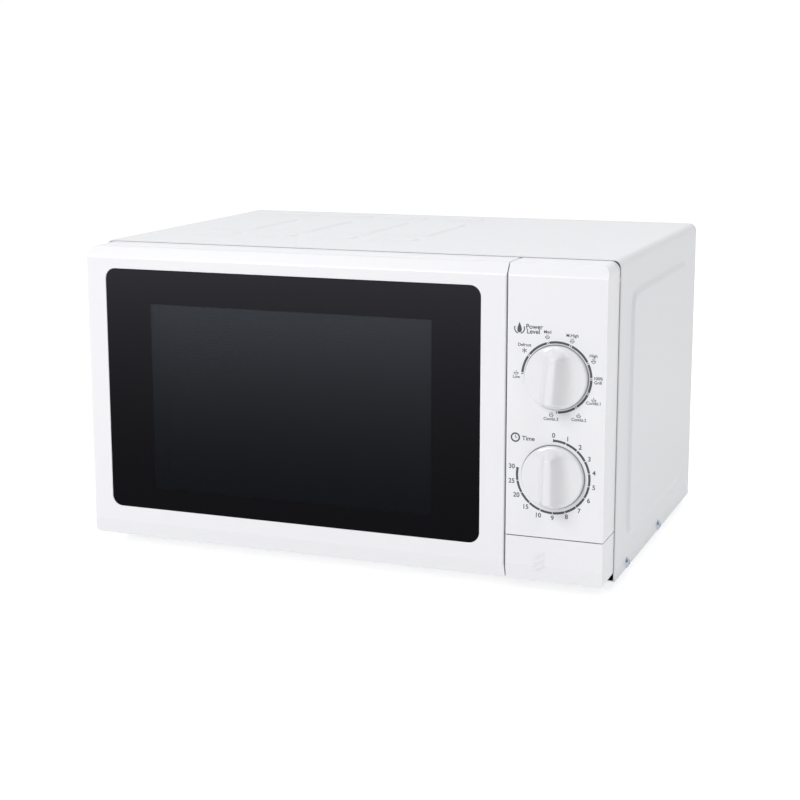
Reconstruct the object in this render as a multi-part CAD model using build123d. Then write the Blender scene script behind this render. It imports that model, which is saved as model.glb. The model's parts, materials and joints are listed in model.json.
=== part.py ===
from build123d import *
import os
from math import atan2, cos, degrees, radians, sin, sqrt

# Counter-top microwave oven with a turntable, a grill and two dials.
# Millimetres. X runs to the right as seen from the front, Y to the back, Z up.
# The origin is on the floor, below the middle of the whole appliance.

# ---------------------------------------------------------------- driving sizes
width = 440.0            # over the steel cover, without its pressed panels
height = 258.0           # floor to the top of the cover, without its pressed pads
depth = 347.0            # knob faces to rear spacers
sheet = 0.8              # steel sheet of cover, base, rear and cavity
moulding = 2.5           # wall of the plastic mouldings
fit = 0.3                # free gap between parts that pass each other
shaft_fit = 0.05         # radial clearance of a turning shaft in its hole

foot_height = 8.0
spacer_depth = 6.0       # rear stand-offs behind the cabinet
knob_height = 17.0       # front face to knob face
front_depth = 37.0       # thickness of door and control panel
rear_gap = 1.0           # door and panel to the front edge of the cover
cover_corner = 6.0

panel_width = 77.6       # right-hand control side, seam to outer edge
seam = 1.0               # door to control panel
inset = 1.1              # door and panel stand this far inside the cover outline
front_bottom = 12.6      # underside of door and panel
low_bevel_top = 25.8
low_bevel_depth = 4.0
high_bevel_bottom = 247.7
high_bevel_depth = 6.7
bevel_round = 2.5

cavity_width, cavity_height, cavity_depth = 306.0, 206.0, 277.0
cavity_centre_x = -38.6
cavity_floor_z = 31.0

glass_x0, glass_x1 = -200.6, 122.3
glass_z0, glass_z1 = 38.4, 239.2
glass_corner = 9.0
glass_thick = 3.0
glass_sink = 0.8

hinge_inset = 7.0        # hinge axis to the door's left face
hinge_setback = 9.0      # hinge axis to the door's back face
pin_radius = 3.0
tab_thick, tab_half_width = 2.0, 5.0
tab_from_end = 16.0      # hinge tab to the door's top and bottom

knob_radius = 24.0
power_rest_angle = 5.0   # clockwise from upright
shaft_radius = 3.0
power_inset, power_z = 38.7, 172.9      # dial centre to the side of the cabinet
timer_inset, timer_z = 40.2, 96.7
dial_recess = 2.0

button_top = 48.2
button_travel = 5.0
latch_lift_per_travel = 0.9

tray_radius, tray_thick, tray_rim = 122.5, 5.0, 9.0
roller_radius, roller_width, roller_track = 7.0, 8.0, 84.0
fan_radius, fan_inset, fan_z = 41.0, 53.0, 168.0

# ---------------------------------------------------------------- worked out
face_y = -depth / 2 + knob_height
cabinet_y0 = face_y + front_depth
cabinet_y1 = depth / 2 - spacer_depth
door_back_y = cabinet_y0 - rear_gap
inner_x = width / 2 - sheet
power_x, timer_x = width / 2 - power_inset, width / 2 - timer_inset
fan_x = width / 2 - fan_inset
outer_x = width / 2 - inset
top_z = height - inset
seam_x = width / 2 - panel_width
door_x0, door_x1 = -outer_x, seam_x - seam / 2
panel_x0, panel_x1 = seam_x + seam / 2, outer_x
plate_y1 = cabinet_y0 + sheet
hinge_x, hinge_y = door_x0 + hinge_inset, door_back_y - hinge_setback
cavity_x0 = cavity_centre_x - cavity_width / 2
cavity_x1 = cavity_centre_x + cavity_width / 2
cavity_z1 = cavity_floor_z + cavity_height
cavity_y1 = plate_y1 + cavity_depth
base_top = foot_height + sheet
plate_x1 = seam_x + 3.6
table_x, table_y = cavity_centre_x, (cabinet_y0 + cavity_y1) / 2
tray_bottom = cavity_floor_z + 2 * roller_radius + 2 * fit
bay_x0 = cavity_x1 + sheet


# ---------------------------------------------------------------- helpers
def block(x0, x1, y0, y1, z0, z1):
    """A box between two corners."""
    size = Box(x1 - x0, y1 - y0, z1 - z0)
    return Pos((x0 + x1) / 2, (y0 + y1) / 2, (z0 + z1) / 2) * size


def upright(face, y0, y1):
    """A face drawn in X and Z, made solid from y0 to y1."""
    return Pos(0, y1, 0) * Rot(90, 0, 0) * extrude(face, y1 - y0, dir=(0, 0, 1))


def sideways(face, x0, x1):
    """A face drawn in Y and Z, made solid from x0 to x1."""
    return extrude(Plane.YZ.offset(x0) * face, x1 - x0, dir=(1, 0, 0))


def rod_x(x0, x1, y, z, radius):
    return Pos((x0 + x1) / 2, y, z) * Rot(0, 90, 0) * Cylinder(radius, x1 - x0)


def rod_y(x, y0, y1, z, radius):
    return Pos(x, (y0 + y1) / 2, z) * Rot(90, 0, 0) * Cylinder(radius, y1 - y0)


def rod_z(x, y, z0, z1, radius):
    return Pos(x, y, (z0 + z1) / 2) * Cylinder(radius, z1 - z0)


def outline(x0, x1, z0, z1, low_left=0.0, low_right=0.0, high_left=0.0, high_right=0.0):
    """A rectangle whose four corners have their own radii."""
    face = Pos((x0 + x1) / 2, (z0 + z1) / 2) * Rectangle(x1 - x0, z1 - z0)
    corners = [(x0, z0, low_left), (x1, z0, low_right), (x0, z1, high_left), (x1, z1, high_right)]
    for x, z, radius in corners:
        if radius > 0:
            face = fillet(face.vertices().sort_by_distance((x, z, 0))[0], radius)
    return face


def corner_wedge(side_u, side_v, radius):
    """What rounding takes off a square corner at the origin; the sides give its direction."""
    reach = radius + 1
    square = Pos(side_u * (reach / 2 - radius), side_v * (reach / 2 - radius)) * Rectangle(reach, reach)
    return square - Pos(-side_u * radius, -side_v * radius) * Circle(radius)


def rounded(x0, x1, z0, z1, radius):
    return outline(x0, x1, z0, z1, radius, radius, radius, radius)


def ring_plate(outer, inner, y0, y1):
    return upright(outer, y0, y1) - upright(inner, y0 - 1, y1 + 1)


def pan_screw_y(x, y, z, direction, head=4.0, shank=2.0, length=8.0):
    """A domed screw along Y: its head stands off y towards direction."""
    dome = Pos(x, y, z) * Rot(-90 * direction, 0, 0) * dome_solid(head)
    stem_end = y - direction * length
    return dome + rod_y(x, min(y, stem_end), max(y, stem_end), z, shank)


def dome_solid(radius, rise=2.4):
    """A shallow dome on the XY plane with a cross recess."""
    ball_radius = (radius**2 + rise**2) / (2 * rise)
    mid = (ball_radius * sin(radians(15)), rise - ball_radius * (1 - cos(radians(15))))
    section = make_face([
        Line((0, 0), (radius, 0)), ThreePointArc((radius, 0), mid, (0, rise)), Line((0, rise), (0, 0))
    ])
    dome = revolve(Plane.XZ * section, Axis.Z)
    slot = Box(radius, 0.9, 1.6) + Box(0.9, radius, 1.6)
    return dome - Pos(0, 0, rise) * slot


def save(node, shape):
    shape.label = node
    export_step(shape, os.path.join("parts", node + ".step"))


# ---------------------------------------------------------------- steel cabinet
screw_y = (face_y + 77.7, face_y + 193.3)
screw_z = 12.3
top_columns = [-156.5 + 54.9 * i for i in range(4)]
top_rows = [(face_y + 113.5, 23.0), (face_y + 195.0, 102.0), (face_y + 291.0, 22.0)]
top_emboss_width = 45.0
top_raise, top_slope = 1.0, 2.0
side_raise, side_slope = 2.0, 8.0
side_emboss = (face_y + 72.0, face_y + 285.0, 32.0, 231.0)
side_emboss_corner = 14.0


def press(cover, face, outward, rise, slope):
    """Presses a shallow pad with sloping walls out of the sheet."""
    pad = extrude(face, amount=rise, dir=outward, taper=degrees(atan2(slope, rise)))
    return cover + pad - Pos(*(Vector(*outward) * -sheet)) * pad


def cabinet_cover():
    half = width / 2
    outer = outline(-half, half, foot_height, height, 0, 0, cover_corner, cover_corner)
    inner_corner = cover_corner - sheet
    inner = outline(-inner_x, inner_x, foot_height - 1, height - sheet, 0, 0, inner_corner, inner_corner)
    cover = upright(outer, cabinet_y0, cabinet_y1) - upright(inner, cabinet_y0 - 1, cabinet_y1 + 1)
    for x in top_columns:
        for y, length in top_rows:
            face = Pos(x, y, height) * RectangleRounded(top_emboss_width, length, 4)
            cover = press(cover, face, (0, 0, 1), top_raise, top_slope)
    y0, y1, z0, z1 = side_emboss
    for side in (-1, 1):
        plane = Plane(origin=(side * half, 0, 0), x_dir=(0, 1, 0), z_dir=(1, 0, 0))
        face = plane * rounded(y0, y1, z0, z1, side_emboss_corner)
        cover = press(cover, face, (side, 0, 0), side_raise, side_slope)
    for y in screw_y:
        cover -= rod_x(-half - 1, half + 1, y, screw_z, 2.2)
    return cover


def side_screws():
    screws = []
    for side in (-1, 1):
        for y in screw_y:
            dome = Pos(side * width / 2, y, screw_z) * Rot(0, 90 * side, 0) * dome_solid(4.8)
            inside = side * (width / 2 - 8)
            stem = rod_x(min(inside, side * width / 2), max(inside, side * width / 2), y, screw_z, 2.0)
            screws.append(dome + stem)
    return Compound(screws)


foot_x = 182.0
foot_y = (cabinet_y0 + 26.0, cabinet_y1 - 26.0)
flange_height = 14.0


def base_plate():
    floor = block(-inner_x, inner_x, plate_y1, cabinet_y1 - sheet, foot_height, base_top)
    for side in (-1, 1):
        x_in, x_out = inner_x - sheet, inner_x
        x0, x1 = (x_in, x_out) if side > 0 else (-x_out, -x_in)
        front = plate_y1 + button_travel if side > 0 else plate_y1    # room for the button's side wall
        floor += block(x0, x1, front, cabinet_y1 - sheet, foot_height, base_top + flange_height)
        for y in screw_y:
            floor -= rod_x(x0 - 1, x1 + 1, y, screw_z, 2.2)
    for y in foot_y:
        for x in (-foot_x, foot_x):
            floor -= rod_z(x, y, 0, base_top + 1, 3.2)
    for i in range(10):
        x = bay_x0 + 12 + 8 * i
        floor -= Pos(x, cabinet_y0 + 22, foot_height) * Box(3, 28, 4)
    return floor


def feet():
    pads = []
    for y in foot_y:
        for x in (-foot_x, foot_x):
            pad = Pos(x, y, foot_height / 2) * Cone(8.5, 10.5, foot_height)
            stem = rod_z(x, y, foot_height, base_top, 3.2) + rod_z(x, y, base_top, base_top + 2, 4.6)
            pads.append(pad + stem)
    return Compound(pads)


latch_x0, latch_x1 = seam_x - 14.4, seam_x - 6.4    # width of the latch hooks
hook_z = (70.0, 195.0)
hook_half, barb_drop = 4.0, 4.0
hook_lift = button_travel * latch_lift_per_travel
slot_x0, slot_x1 = latch_x0 - 3.0, latch_x1 + 3.5
tab_places = (front_bottom + tab_from_end, top_z - tab_from_end - tab_thick)


def hook_slots(y0, y1):
    """Openings that let both hooks through, with room for their lift and swing."""
    slots = []
    for z in hook_z:
        low, high = z - hook_half - barb_drop - 1, z + hook_half + hook_lift + 1
        slots.append(block(slot_x0, slot_x1, y0, y1, low, high))
    return slots


def front_plate():
    outer = outline(-inner_x, plate_x1, base_top, height - sheet, 0, 0, cover_corner - sheet, 0)
    mouth = rounded(cavity_x0, cavity_x1, cavity_floor_z, cavity_z1, 10)
    plate = ring_plate(outer, mouth, cabinet_y0, plate_y1)
    for slot in hook_slots(cabinet_y0 - 1, plate_y1 + 1):
        plate -= slot
    return plate


def hinge_bracket(z):
    """A steel tab that stands out of the front plate and holds a door pin."""
    tab = block(hinge_x - tab_half_width, hinge_x + tab_half_width, hinge_y, cabinet_y0, z, z + tab_thick)
    tab += rod_z(hinge_x, hinge_y, z, z + tab_thick, tab_half_width)
    tab -= rod_z(hinge_x, hinge_y, z - 1, z + tab_thick + 1, pin_radius + shaft_fit)
    foot = block(sheet - inner_x, cavity_x0 - sheet - 2, plate_y1, plate_y1 + 1.5, z - 10, z + tab_thick + 10)
    neck = block(hinge_x - tab_half_width, hinge_x + tab_half_width, cabinet_y0, plate_y1, z, z + tab_thick)
    return tab + neck + foot


def hinge_brackets():
    return Compound([hinge_bracket(z) for z in tab_places])


def front_plate_cut():
    plate = front_plate()
    for z in tab_places:
        plate -= block(
            hinge_x - tab_half_width, hinge_x + tab_half_width, cabinet_y0 - 1, plate_y1 + 1, z, z + tab_thick
        )
    return plate


lamp_y, lamp_z = 2.0, 205.0
guide_y, guide_z = 62.0, 176.0         # middle of the microwave inlet
guide_width, guide_height = 92.0, 74.0
inlet_width, inlet_height = 80.0, 62.0
heater_radius, heater_z = 3.2, cavity_z1 - 16.0
heater_y = (table_y - 55.0, table_y + 55.0)


def cavity_shell():
    """Side walls and ceiling of the oven cavity, folded from one sheet."""
    outer = block(cavity_x0 - sheet, bay_x0, plate_y1, cavity_y1, cavity_floor_z, cavity_z1 + sheet)
    shell = outer - block(cavity_x0, cavity_x1, plate_y1 - 1, cavity_y1 + 1, cavity_floor_z - 1, cavity_z1)
    cut0, cut1 = cavity_x1 - 1, bay_x0 + 1
    half_y, half_z = inlet_width / 2 - 4, inlet_height / 2 - 4
    shell -= block(cut0, cut1, guide_y - half_y, guide_y + half_y, guide_z - half_z, guide_z + half_z)
    for i in range(-3, 4):
        for k in range(-2, 3):
            shell -= rod_x(cut0, cut1, lamp_y + 5.5 * i, lamp_z + 5.5 * k, 1.6)
    for y in heater_y:
        shell -= rod_x(cut0, cut1, y, heater_z, heater_radius + fit)
    for i in range(9):
        for k in range(3):
            shell -= rod_x(cavity_x0 - 2, cavity_x0 + 1, 85 + 6 * i, 200 + 6 * k, 1.8)
    return shell


motor_top = cavity_floor_z - sheet
motor_radius = 25.0
coupler_shaft_radius = 3.5


def cavity_floor():
    plate = block(
        cavity_x0 - sheet, bay_x0, plate_y1, cavity_y1, cavity_floor_z - sheet, cavity_floor_z
    )
    return plate - rod_z(table_x, table_y, cavity_floor_z - 2, cavity_floor_z + 1, 9)


def cavity_back():
    return block(
        cavity_x0 - sheet, bay_x0, cavity_y1, cavity_y1 + sheet, cavity_floor_z - sheet, cavity_z1 + sheet
    )


gland_x, gland_z, gland_bore = width / 2 - 28.0, 36.0, 4.0


def rear_panel():
    corner = cover_corner - sheet
    outer = outline(-inner_x, inner_x, base_top, height - sheet, 0, 0, corner, corner)
    panel = upright(outer, cabinet_y1 - sheet, cabinet_y1)
    panel -= rod_y(gland_x, cabinet_y1 - 2, cabinet_y1 + 1, gland_z, gland_bore + 3)
    for k in range(9):
        z = fan_z - 36 + 9 * k
        panel -= block(fan_x - 34, fan_x + 34, cabinet_y1 - 2, cabinet_y1 + 1, z - 1.8, z + 1.8)
    for i in range(12):
        x = cavity_x0 + 20 + 12 * i
        panel -= block(x - 2, x + 2, cabinet_y1 - 2, cabinet_y1 + 1, 205, 235)
    for x, z in rear_screw_places:
        panel -= rod_y(x, cabinet_y1 - 2, cabinet_y1 + 1, z, 2.2)
    return panel


rear_screw_places = [(-208, 30), (-208, 235), (0, 20), (208, 245), (208, 20)]


def rear_screws():
    return Compound([pan_screw_y(x, cabinet_y1, z, 1, length=5) for x, z in rear_screw_places])


def rear_spacers():
    spacers = []
    for x in (-150.0, 80.0):
        for z in (60.0, 195.0):
            body = block(x - 14, x + 14, cabinet_y1, cabinet_y1 + spacer_depth, z - 9, z + 9)
            spacers.append(fillet(body.edges().filter_by(Axis.Y), 4))
    return Compound(spacers)


def cord_gland():
    """The bushing that the mains lead passes through."""
    body = rod_y(gland_x, cabinet_y1 - 8, cabinet_y1 + 4, gland_z, gland_bore + 3)
    body += rod_y(gland_x, cabinet_y1, cabinet_y1 + 3, gland_z, gland_bore + 6)
    body += rod_y(gland_x, cabinet_y1 - 4, cabinet_y1 - sheet, gland_z, gland_bore + 5)
    return body - rod_y(gland_x, cabinet_y1 - 9, cabinet_y1 + 5, gland_z, gland_bore)


# ---------------------------------------------------------------- front mouldings
def front_solid(x0, x1, inset_by, rear_y, side_round, corners, back_left=0.0):
    """The door and panel share one side section. corners are the outline's radii."""
    section = Polyline(
        (face_y, low_bevel_top), (face_y, high_bevel_bottom), (face_y + high_bevel_depth, top_z),
        (rear_y, top_z), (rear_y, front_bottom), (face_y + low_bevel_depth, front_bottom),
        close=True,
    )
    section = make_face(section)
    if inset_by:
        section = offset(section, amount=-inset_by, kind=Kind.INTERSECTION)
    front_vertices = section.vertices().filter_by(lambda v: v.X < rear_y - inset_by - 2)
    section = fillet(front_vertices, bevel_round)
    a, b = x0 + inset_by, x1 - inset_by
    solid = sideways(section, a, b)
    front, low, high = face_y + inset_by, front_bottom + inset_by, top_z - inset_by
    low_left, low_right, high_left, high_right = corners
    for x, side, radius in ((a, -1, side_round[0]), (b, 1, side_round[1])):
        wedge = corner_wedge(side, -1, radius)
        solid -= Pos(x, front, -5) * extrude(wedge, height + 10, dir=(0, 0, 1))
    for x, side, z, end, radius in (
        (a, -1, low, -1, low_left), (b, 1, low, -1, low_right),
        (a, -1, high, 1, high_left), (b, 1, high, 1, high_right),
    ):
        solid -= upright(Pos(x, z) * corner_wedge(side, end, radius), face_y - 5, rear_y + 5)
    if back_left:
        wedge = corner_wedge(-1, 1, back_left)
        solid -= Pos(a, rear_y, -5) * extrude(wedge, height + 10, dir=(0, 0, 1))
    return solid


ledge = 5.0
screw_boss = 5.0
panel_y0 = face_y + 22.2               # front face of the steel door panel
stile_x1 = hinge_x + tab_half_width + 1.5
panel_plate = (stile_x1 + 0.5, seam_x - 16.4, front_bottom + 8, top_z - 4)
boss_places = [
    (panel_plate[0] + 6, glass_z0 - 9), (panel_plate[0] + 6, glass_z1 + 7),
    (panel_plate[1] - 6, glass_z0 - 9), (panel_plate[1] - 6, glass_z1 + 7),
]


def door_frame():
    corners = (4.0, 1.5, 10.0, 1.5)
    outer = front_solid(door_x0, door_x1, 0, door_back_y, (3.0, 1.2), corners, back_left=hinge_inset)
    hollow = front_solid(door_x0, door_x1, moulding, door_back_y + 4, (1.5, 0.8), (2.0, 0.5, 8.0, 0.5))
    frame = outer - hollow
    window = rounded(glass_x0 - fit, glass_x1 + fit, glass_z0 - fit, glass_z1 + fit, glass_corner + fit)
    glass_back = face_y + glass_sink + glass_thick
    seat = upright(
        rounded(glass_x0 - 3, glass_x1 + 3, glass_z0 - 3, glass_z1 + 3, glass_corner + 3),
        face_y + moulding, glass_back + 2,
    )
    view = rounded(glass_x0 + ledge, glass_x1 - ledge, glass_z0 + ledge, glass_z1 - ledge, glass_corner - 3)
    frame = frame + seat - upright(window, face_y - 1, glass_back) - upright(view, face_y, glass_back + 3)
    stile = block(door_x0, stile_x1, hinge_y - tab_half_width - 1.5, door_back_y, front_bottom, top_z) & outer
    frame += stile
    for x, z in boss_places:
        boss = rod_y(x, face_y + moulding, panel_y0, z, screw_boss)
        frame += boss - rod_y(x, panel_y0 - 9, panel_y0 + 1, z, 1.4)
    peg_z = spring_top_z - spring_length - 5
    frame += rod_y(latch_mid_x, face_y + moulding, bar_y0 - 1.5, peg_z, 1.5)
    for z in tab_places:
        frame -= block(
            door_x0 - 1, stile_x1, hinge_y - tab_half_width - 1.5, door_back_y + 1,
            z - 1, z + tab_thick + 1,
        )
        frame -= rod_z(hinge_x, hinge_y, z - 11, z + tab_thick + 11, pin_radius)
    return frame


def door_glass():
    face = rounded(glass_x0, glass_x1, glass_z0, glass_z1, glass_corner)
    return upright(face, face_y + glass_sink, face_y + glass_sink + glass_thick)


def hinge_pins():
    pins = []
    for z in tab_places:
        pins.append(rod_z(hinge_x, hinge_y, z - 11, z + tab_thick + 11, pin_radius))
    return Compound(pins)


screen = (-176.0, 99.0, 48.0, 222.0)
panel_y1 = panel_y0 + sheet
choke_outer = (panel_plate[0] + 1, panel_plate[1] - 1, panel_plate[2] + 1, panel_plate[3] - 1)
choke_inner = (screen[0] - 8, screen[1] + 8, screen[2] - 8, screen[3] + 6)
choke_y1 = door_back_y - 2.5
door_open_x = (screen[0] - 6, screen[1] + 6, screen[2] - 6, screen[3] + 4)


def door_panel():
    """Pressed steel inner panel. The perforated screen closes its window."""
    plate = ring_plate(rounded(*panel_plate, 3), rounded(*screen, 6), panel_y0, panel_y1)
    for x, z in boss_places:
        plate -= rod_y(x, panel_y0 - 1, panel_y1 + 1, z, 1.6)
    return plate


def screen_mesh():
    sheet_face = rounded(screen[0] - 4, screen[1] + 4, screen[2] - 4, screen[3] + 4, 6)
    return upright(sheet_face, panel_y0 - 0.6, panel_y0)


def door_screws():
    return Compound([pan_screw_y(x, panel_y1, z, 1, head=3.2, shank=1.4, length=8) for x, z in boss_places])


def choke_channel():
    """U channel round the window with a comb of slots in its inner wall."""
    x0, x1, z0, z1 = choke_outer
    u0, u1, w0, w1 = choke_inner
    y0, y1 = panel_y1, choke_y1
    channel = block(x0, x1, y0, y1, z0, z1) - block(u0, u1, y0 - 1, y1 + 1, w0, w1)
    channel -= block(x0 + sheet, x1 - sheet, y0 + sheet, y1 + 1, z0 + sheet, z1 - sheet) - block(
        u0 - sheet, u1 + sheet, y0, y1 + 2, w0 - sheet, w1 + sheet
    )
    for x, z in boss_places:
        channel -= rod_y(x, y0 - 1, y1 + 1, z, 3.4)
    pitch = 13.0
    for i in range(int((u1 - u0) / pitch) - 1):
        x = u0 + pitch * (i + 1)
        channel -= block(x - 1.5, x + 1.5, y0 + 3, y1 + 1, w0 - sheet - 1, w1 + sheet + 1)
    for k in range(int((w1 - w0) / pitch) - 1):
        z = w0 + pitch * (k + 1)
        channel -= block(u0 - sheet - 1, u1 + sheet + 1, y0 + 3, y1 + 1, z - 1.5, z + 1.5)
    return channel


def choke_cover():
    """Plastic cover over the choke, the frame seen with the door open."""
    outer = outline(
        stile_x1 + 0.2, door_x1 - moulding - 0.2, front_bottom + moulding + 0.2, top_z - moulding - 0.2,
        1, 1, 6, 1,
    )
    cover = ring_plate(outer, rounded(*door_open_x, 6), choke_y1, door_back_y)
    lip_outer = rounded(door_open_x[0] - 1, door_open_x[1] + 1, door_open_x[2] - 1, door_open_x[3] + 1, 7)
    cover += ring_plate(lip_outer, rounded(*door_open_x, 6), panel_y1 + 1.2, choke_y1)
    for z in hook_z:
        cover -= block(
            latch_x0 - 0.6, latch_x1 + 0.6, choke_y1 - 1, door_back_y + 1,
            z - hook_half - barb_drop - 0.6, z + hook_half + hook_lift + 0.6,
        )
    return cover


def inner_window():
    x0, x1, z0, z1 = door_open_x
    return upright(rounded(x0 - 1, x1 + 1, z0 - 1, z1 + 1, 6), panel_y1, panel_y1 + 1.2)


latch_mid_x = (latch_x0 + latch_x1) / 2
spring_top_z, spring_length = 132.0, 34.0
hook_tip_y = cabinet_y0 + 26.0
barb_y0 = hook_tip_y - 6.0
bar_y0, bar_y1 = choke_y1 - 8.5, choke_y1 - 1.5
spring_y = bar_y0 - 4.0


def latch_hook():
    """One sliding bar in the door that carries the upper and the lower hook."""
    bar = block(latch_x0, latch_x1, bar_y0, bar_y1, hook_z[0] - 15, hook_z[1] + 12)
    for z in hook_z:
        bar += block(latch_x0, latch_x1, bar_y0, hook_tip_y, z - hook_half, z + hook_half)
        tip = Polyline(
            (barb_y0, z - hook_half), (barb_y0, z - hook_half - barb_drop),
            (hook_tip_y - 3, z - hook_half - barb_drop), (hook_tip_y, z - hook_half),
            close=True,
        )
        bar += sideways(make_face(tip), latch_x0, latch_x1)
    return bar + rod_y(latch_mid_x, bar_y0 - 6, bar_y0, spring_top_z, 1.5)


def coil_spring(radius, wire, pitch, length):
    """A helical spring along +Z that starts on the XY plane."""
    path = Helix(pitch=pitch, height=length, radius=radius)
    start = path @ 0
    section = Plane(origin=start, z_dir=path % 0) * Circle(wire / 2)
    return sweep(section, path=path)


def latch_spring():
    """Pulls the hooks down, from a post on their bar to a peg of the door frame."""
    coil = coil_spring(2.2, 0.7, 1.4, spring_length)
    return Pos(latch_mid_x, spring_y, spring_top_z - 2 - spring_length) * coil


# ---------------------------------------------------------------- control side
guide_pin_x = (panel_x0 + 22.0, panel_x1 - 14.0)
guide_pin_z = button_top - 18.2
guide_pin_radius = 3.0
guide_plate_y = (door_back_y - 2.0, cabinet_y0)
pusher_x = (plate_x1 + 5.0, plate_x1 + 13.0)
pusher_z = (button_top - 15.2, button_top - 12.2)
tube_end_y = door_back_y - 12.0
unit_y = face_y + 15.0                # front of timer and selector bodies
unit_spread = 18.0


def dial_hole(panel, x, z):
    seat_back = face_y + dial_recess + moulding
    panel += rod_y(x, face_y + 1, seat_back, z, knob_radius + 3)
    panel -= rod_y(x, face_y - 1, face_y + dial_recess, z, knob_radius + 0.8)
    panel -= rod_y(x, face_y, seat_back + 1, z, shaft_radius + 2)
    for dx in (-unit_spread, unit_spread):
        for dz in (-unit_spread, unit_spread):
            panel += rod_y(x + dx, seat_back, unit_y, z + dz, 3.5)
    return panel


def control_panel():
    corners = (1.5, 2.0, 1.5, 7.0)
    outer = front_solid(panel_x0, panel_x1, 0, door_back_y, (1.2, 2.5), corners)
    hollow = front_solid(panel_x0, panel_x1, moulding, door_back_y + 4, (0.8, 1.5), (0.5, 1.0, 0.5, 5.0))
    floor_z = button_top + 0.8
    keep = block(panel_x0 - 1, panel_x1 + 1, face_y - 1, door_back_y + 1, floor_z, height)
    hollow_keep = block(panel_x0, panel_x1, face_y, door_back_y + 5, floor_z + moulding, height)
    panel = (outer & keep) - (hollow & hollow_keep)
    panel = dial_hole(panel, power_x, power_z)
    panel = dial_hole(panel, timer_x, timer_z)
    y0, y1 = guide_plate_y
    plate = block(panel_x0 + 3.4, panel_x1 - moulding - 1.5, y0, y1, front_bottom + 4.5, floor_z + moulding)
    plate -= block(pusher_x[0] - 1, pusher_x[1] + 1, y0 - 1, y1 + 1, pusher_z[0] - 1, pusher_z[1] + 1)
    panel += plate
    for x in guide_pin_x:
        panel += rod_y(x, y0 - 20, y0, guide_pin_z, guide_pin_radius)
    return panel


def open_button():
    corners = (1.5, 4.0, 1.5, 7.0)
    outer = front_solid(panel_x0, panel_x1, 0, door_back_y, (1.2, 2.5), corners)
    hollow = front_solid(panel_x0, panel_x1, moulding, door_back_y + 4, (0.8, 1.5), (0.5, 2.0, 0.5, 5.0))
    low = block(panel_x0 - 1, panel_x1 + 1, face_y - 1, door_back_y + 5, 0, button_top)
    hollow_low = block(panel_x0, panel_x1, face_y, door_back_y + 6, 0, button_top - moulding)
    cap = (outer & low) - (hollow & hollow_low)
    short = door_back_y - button_travel - 3.0
    cut_x1 = panel_x1 - moulding - 1
    cap -= block(panel_x0 - 1, cut_x1, short, door_back_y + 1, front_bottom + moulding, height)
    cap -= block(panel_x0 - 1, panel_x0 + 4, short, door_back_y + 1, 0, height)
    for x in guide_pin_x:
        tube = rod_y(x, face_y + moulding - 0.5, tube_end_y, guide_pin_z, guide_pin_radius + fit + 2)
        cap += tube - rod_y(x, tube_end_y - 19, tube_end_y + 1, guide_pin_z, guide_pin_radius + fit)
    cap += block(*pusher_x, face_y + moulding - 0.5, pusher_end_y, *pusher_z)
    cap += block(*pusher_x, face_y + moulding - 0.5, tube_end_y, pusher_z[0] - 6, pusher_z[1] + 6)
    for i in range(3):
        bar = Pos(panel_x0 + 27, face_y, 25.5 + 4.6 * (2 - i)) * Rot(90, 0, 0)
        bar *= Rot(0, 0, 24) * extrude(SlotOverall(9.0, 1.5), 0.5, both=True)
        cap += bar
    return cap


def button_springs():
    springs = []
    start, end = tube_end_y + 0.3, guide_plate_y[0] - 0.3
    for x in guide_pin_x:
        coil = coil_spring(guide_pin_radius + 1.2, 0.7, 2.0, end - start)
        springs.append(Pos(x, start, guide_pin_z) * Rot(-90, 0, 0) * coil)
    return Compound(springs)


# ---------------------------------------------------------------- latch inside the cabinet
web_x0, web_x1 = slot_x1 + 1.0, slot_x1 + 4.0
lever_y, lever_z, lever_radius = barb_y0 - 10.0, hook_z[0] - 18.0, 3.0
lever_arm = lever_z - pusher_z[1]     # lever shaft down to the pusher
pusher_end_y = lever_y - lever_radius - 0.5
hook_gap = 0.5


def latch_board():
    """Plastic bracket behind the front plate that catches both hooks."""
    z0, z1 = hook_z[0] - 30, hook_z[1] + 28
    board = block(web_x0, web_x1, plate_y1, hook_tip_y + 20, z0, z1)
    board += block(bay_x0 + 1.5, web_x1, plate_y1, plate_y1 + 2.5, z0, z1)
    for slot in hook_slots(plate_y1 - 1, plate_y1 + 4):
        board -= slot
    for z in hook_z:
        catch_top = z - hook_half - barb_drop - hook_gap
        split_x = (latch_x0 + latch_x1) / 2 + 0.5
        board += block(split_x, web_x0, barb_y0 - 8, barb_y0 - 1, catch_top - 5, catch_top)
    board -= rod_x(web_x0 - 1, web_x1 + 1, lever_y, lever_z, lever_radius + shaft_fit)
    return board


def latch_lever():
    """Bell crank: the button pushes its lower arm and its finger lifts the hooks."""
    finger_x0, finger_x1 = latch_x0 - 2.0, (latch_x0 + latch_x1) / 2 - 0.5
    lever = rod_x(finger_x0, pusher_x[1] + 1, lever_y, lever_z, lever_radius)
    top = hook_z[0] - hook_half - barb_drop - hook_gap - lever_z
    finger = Polyline(
        (lever_y, lever_z - 3), (lever_y + 16, lever_z + top - 4), (lever_y + 16, lever_z + top),
        (lever_y + 10, lever_z + top), (lever_y - 2, lever_z + 2), close=True,
    )
    lever += sideways(make_face(finger), finger_x0, finger_x1)
    lever += block(
        pusher_x[0] - 1, pusher_x[1] + 1, lever_y - lever_radius, lever_y + lever_radius,
        lever_z - lever_arm - 4, lever_z,
    )
    return lever


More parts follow.
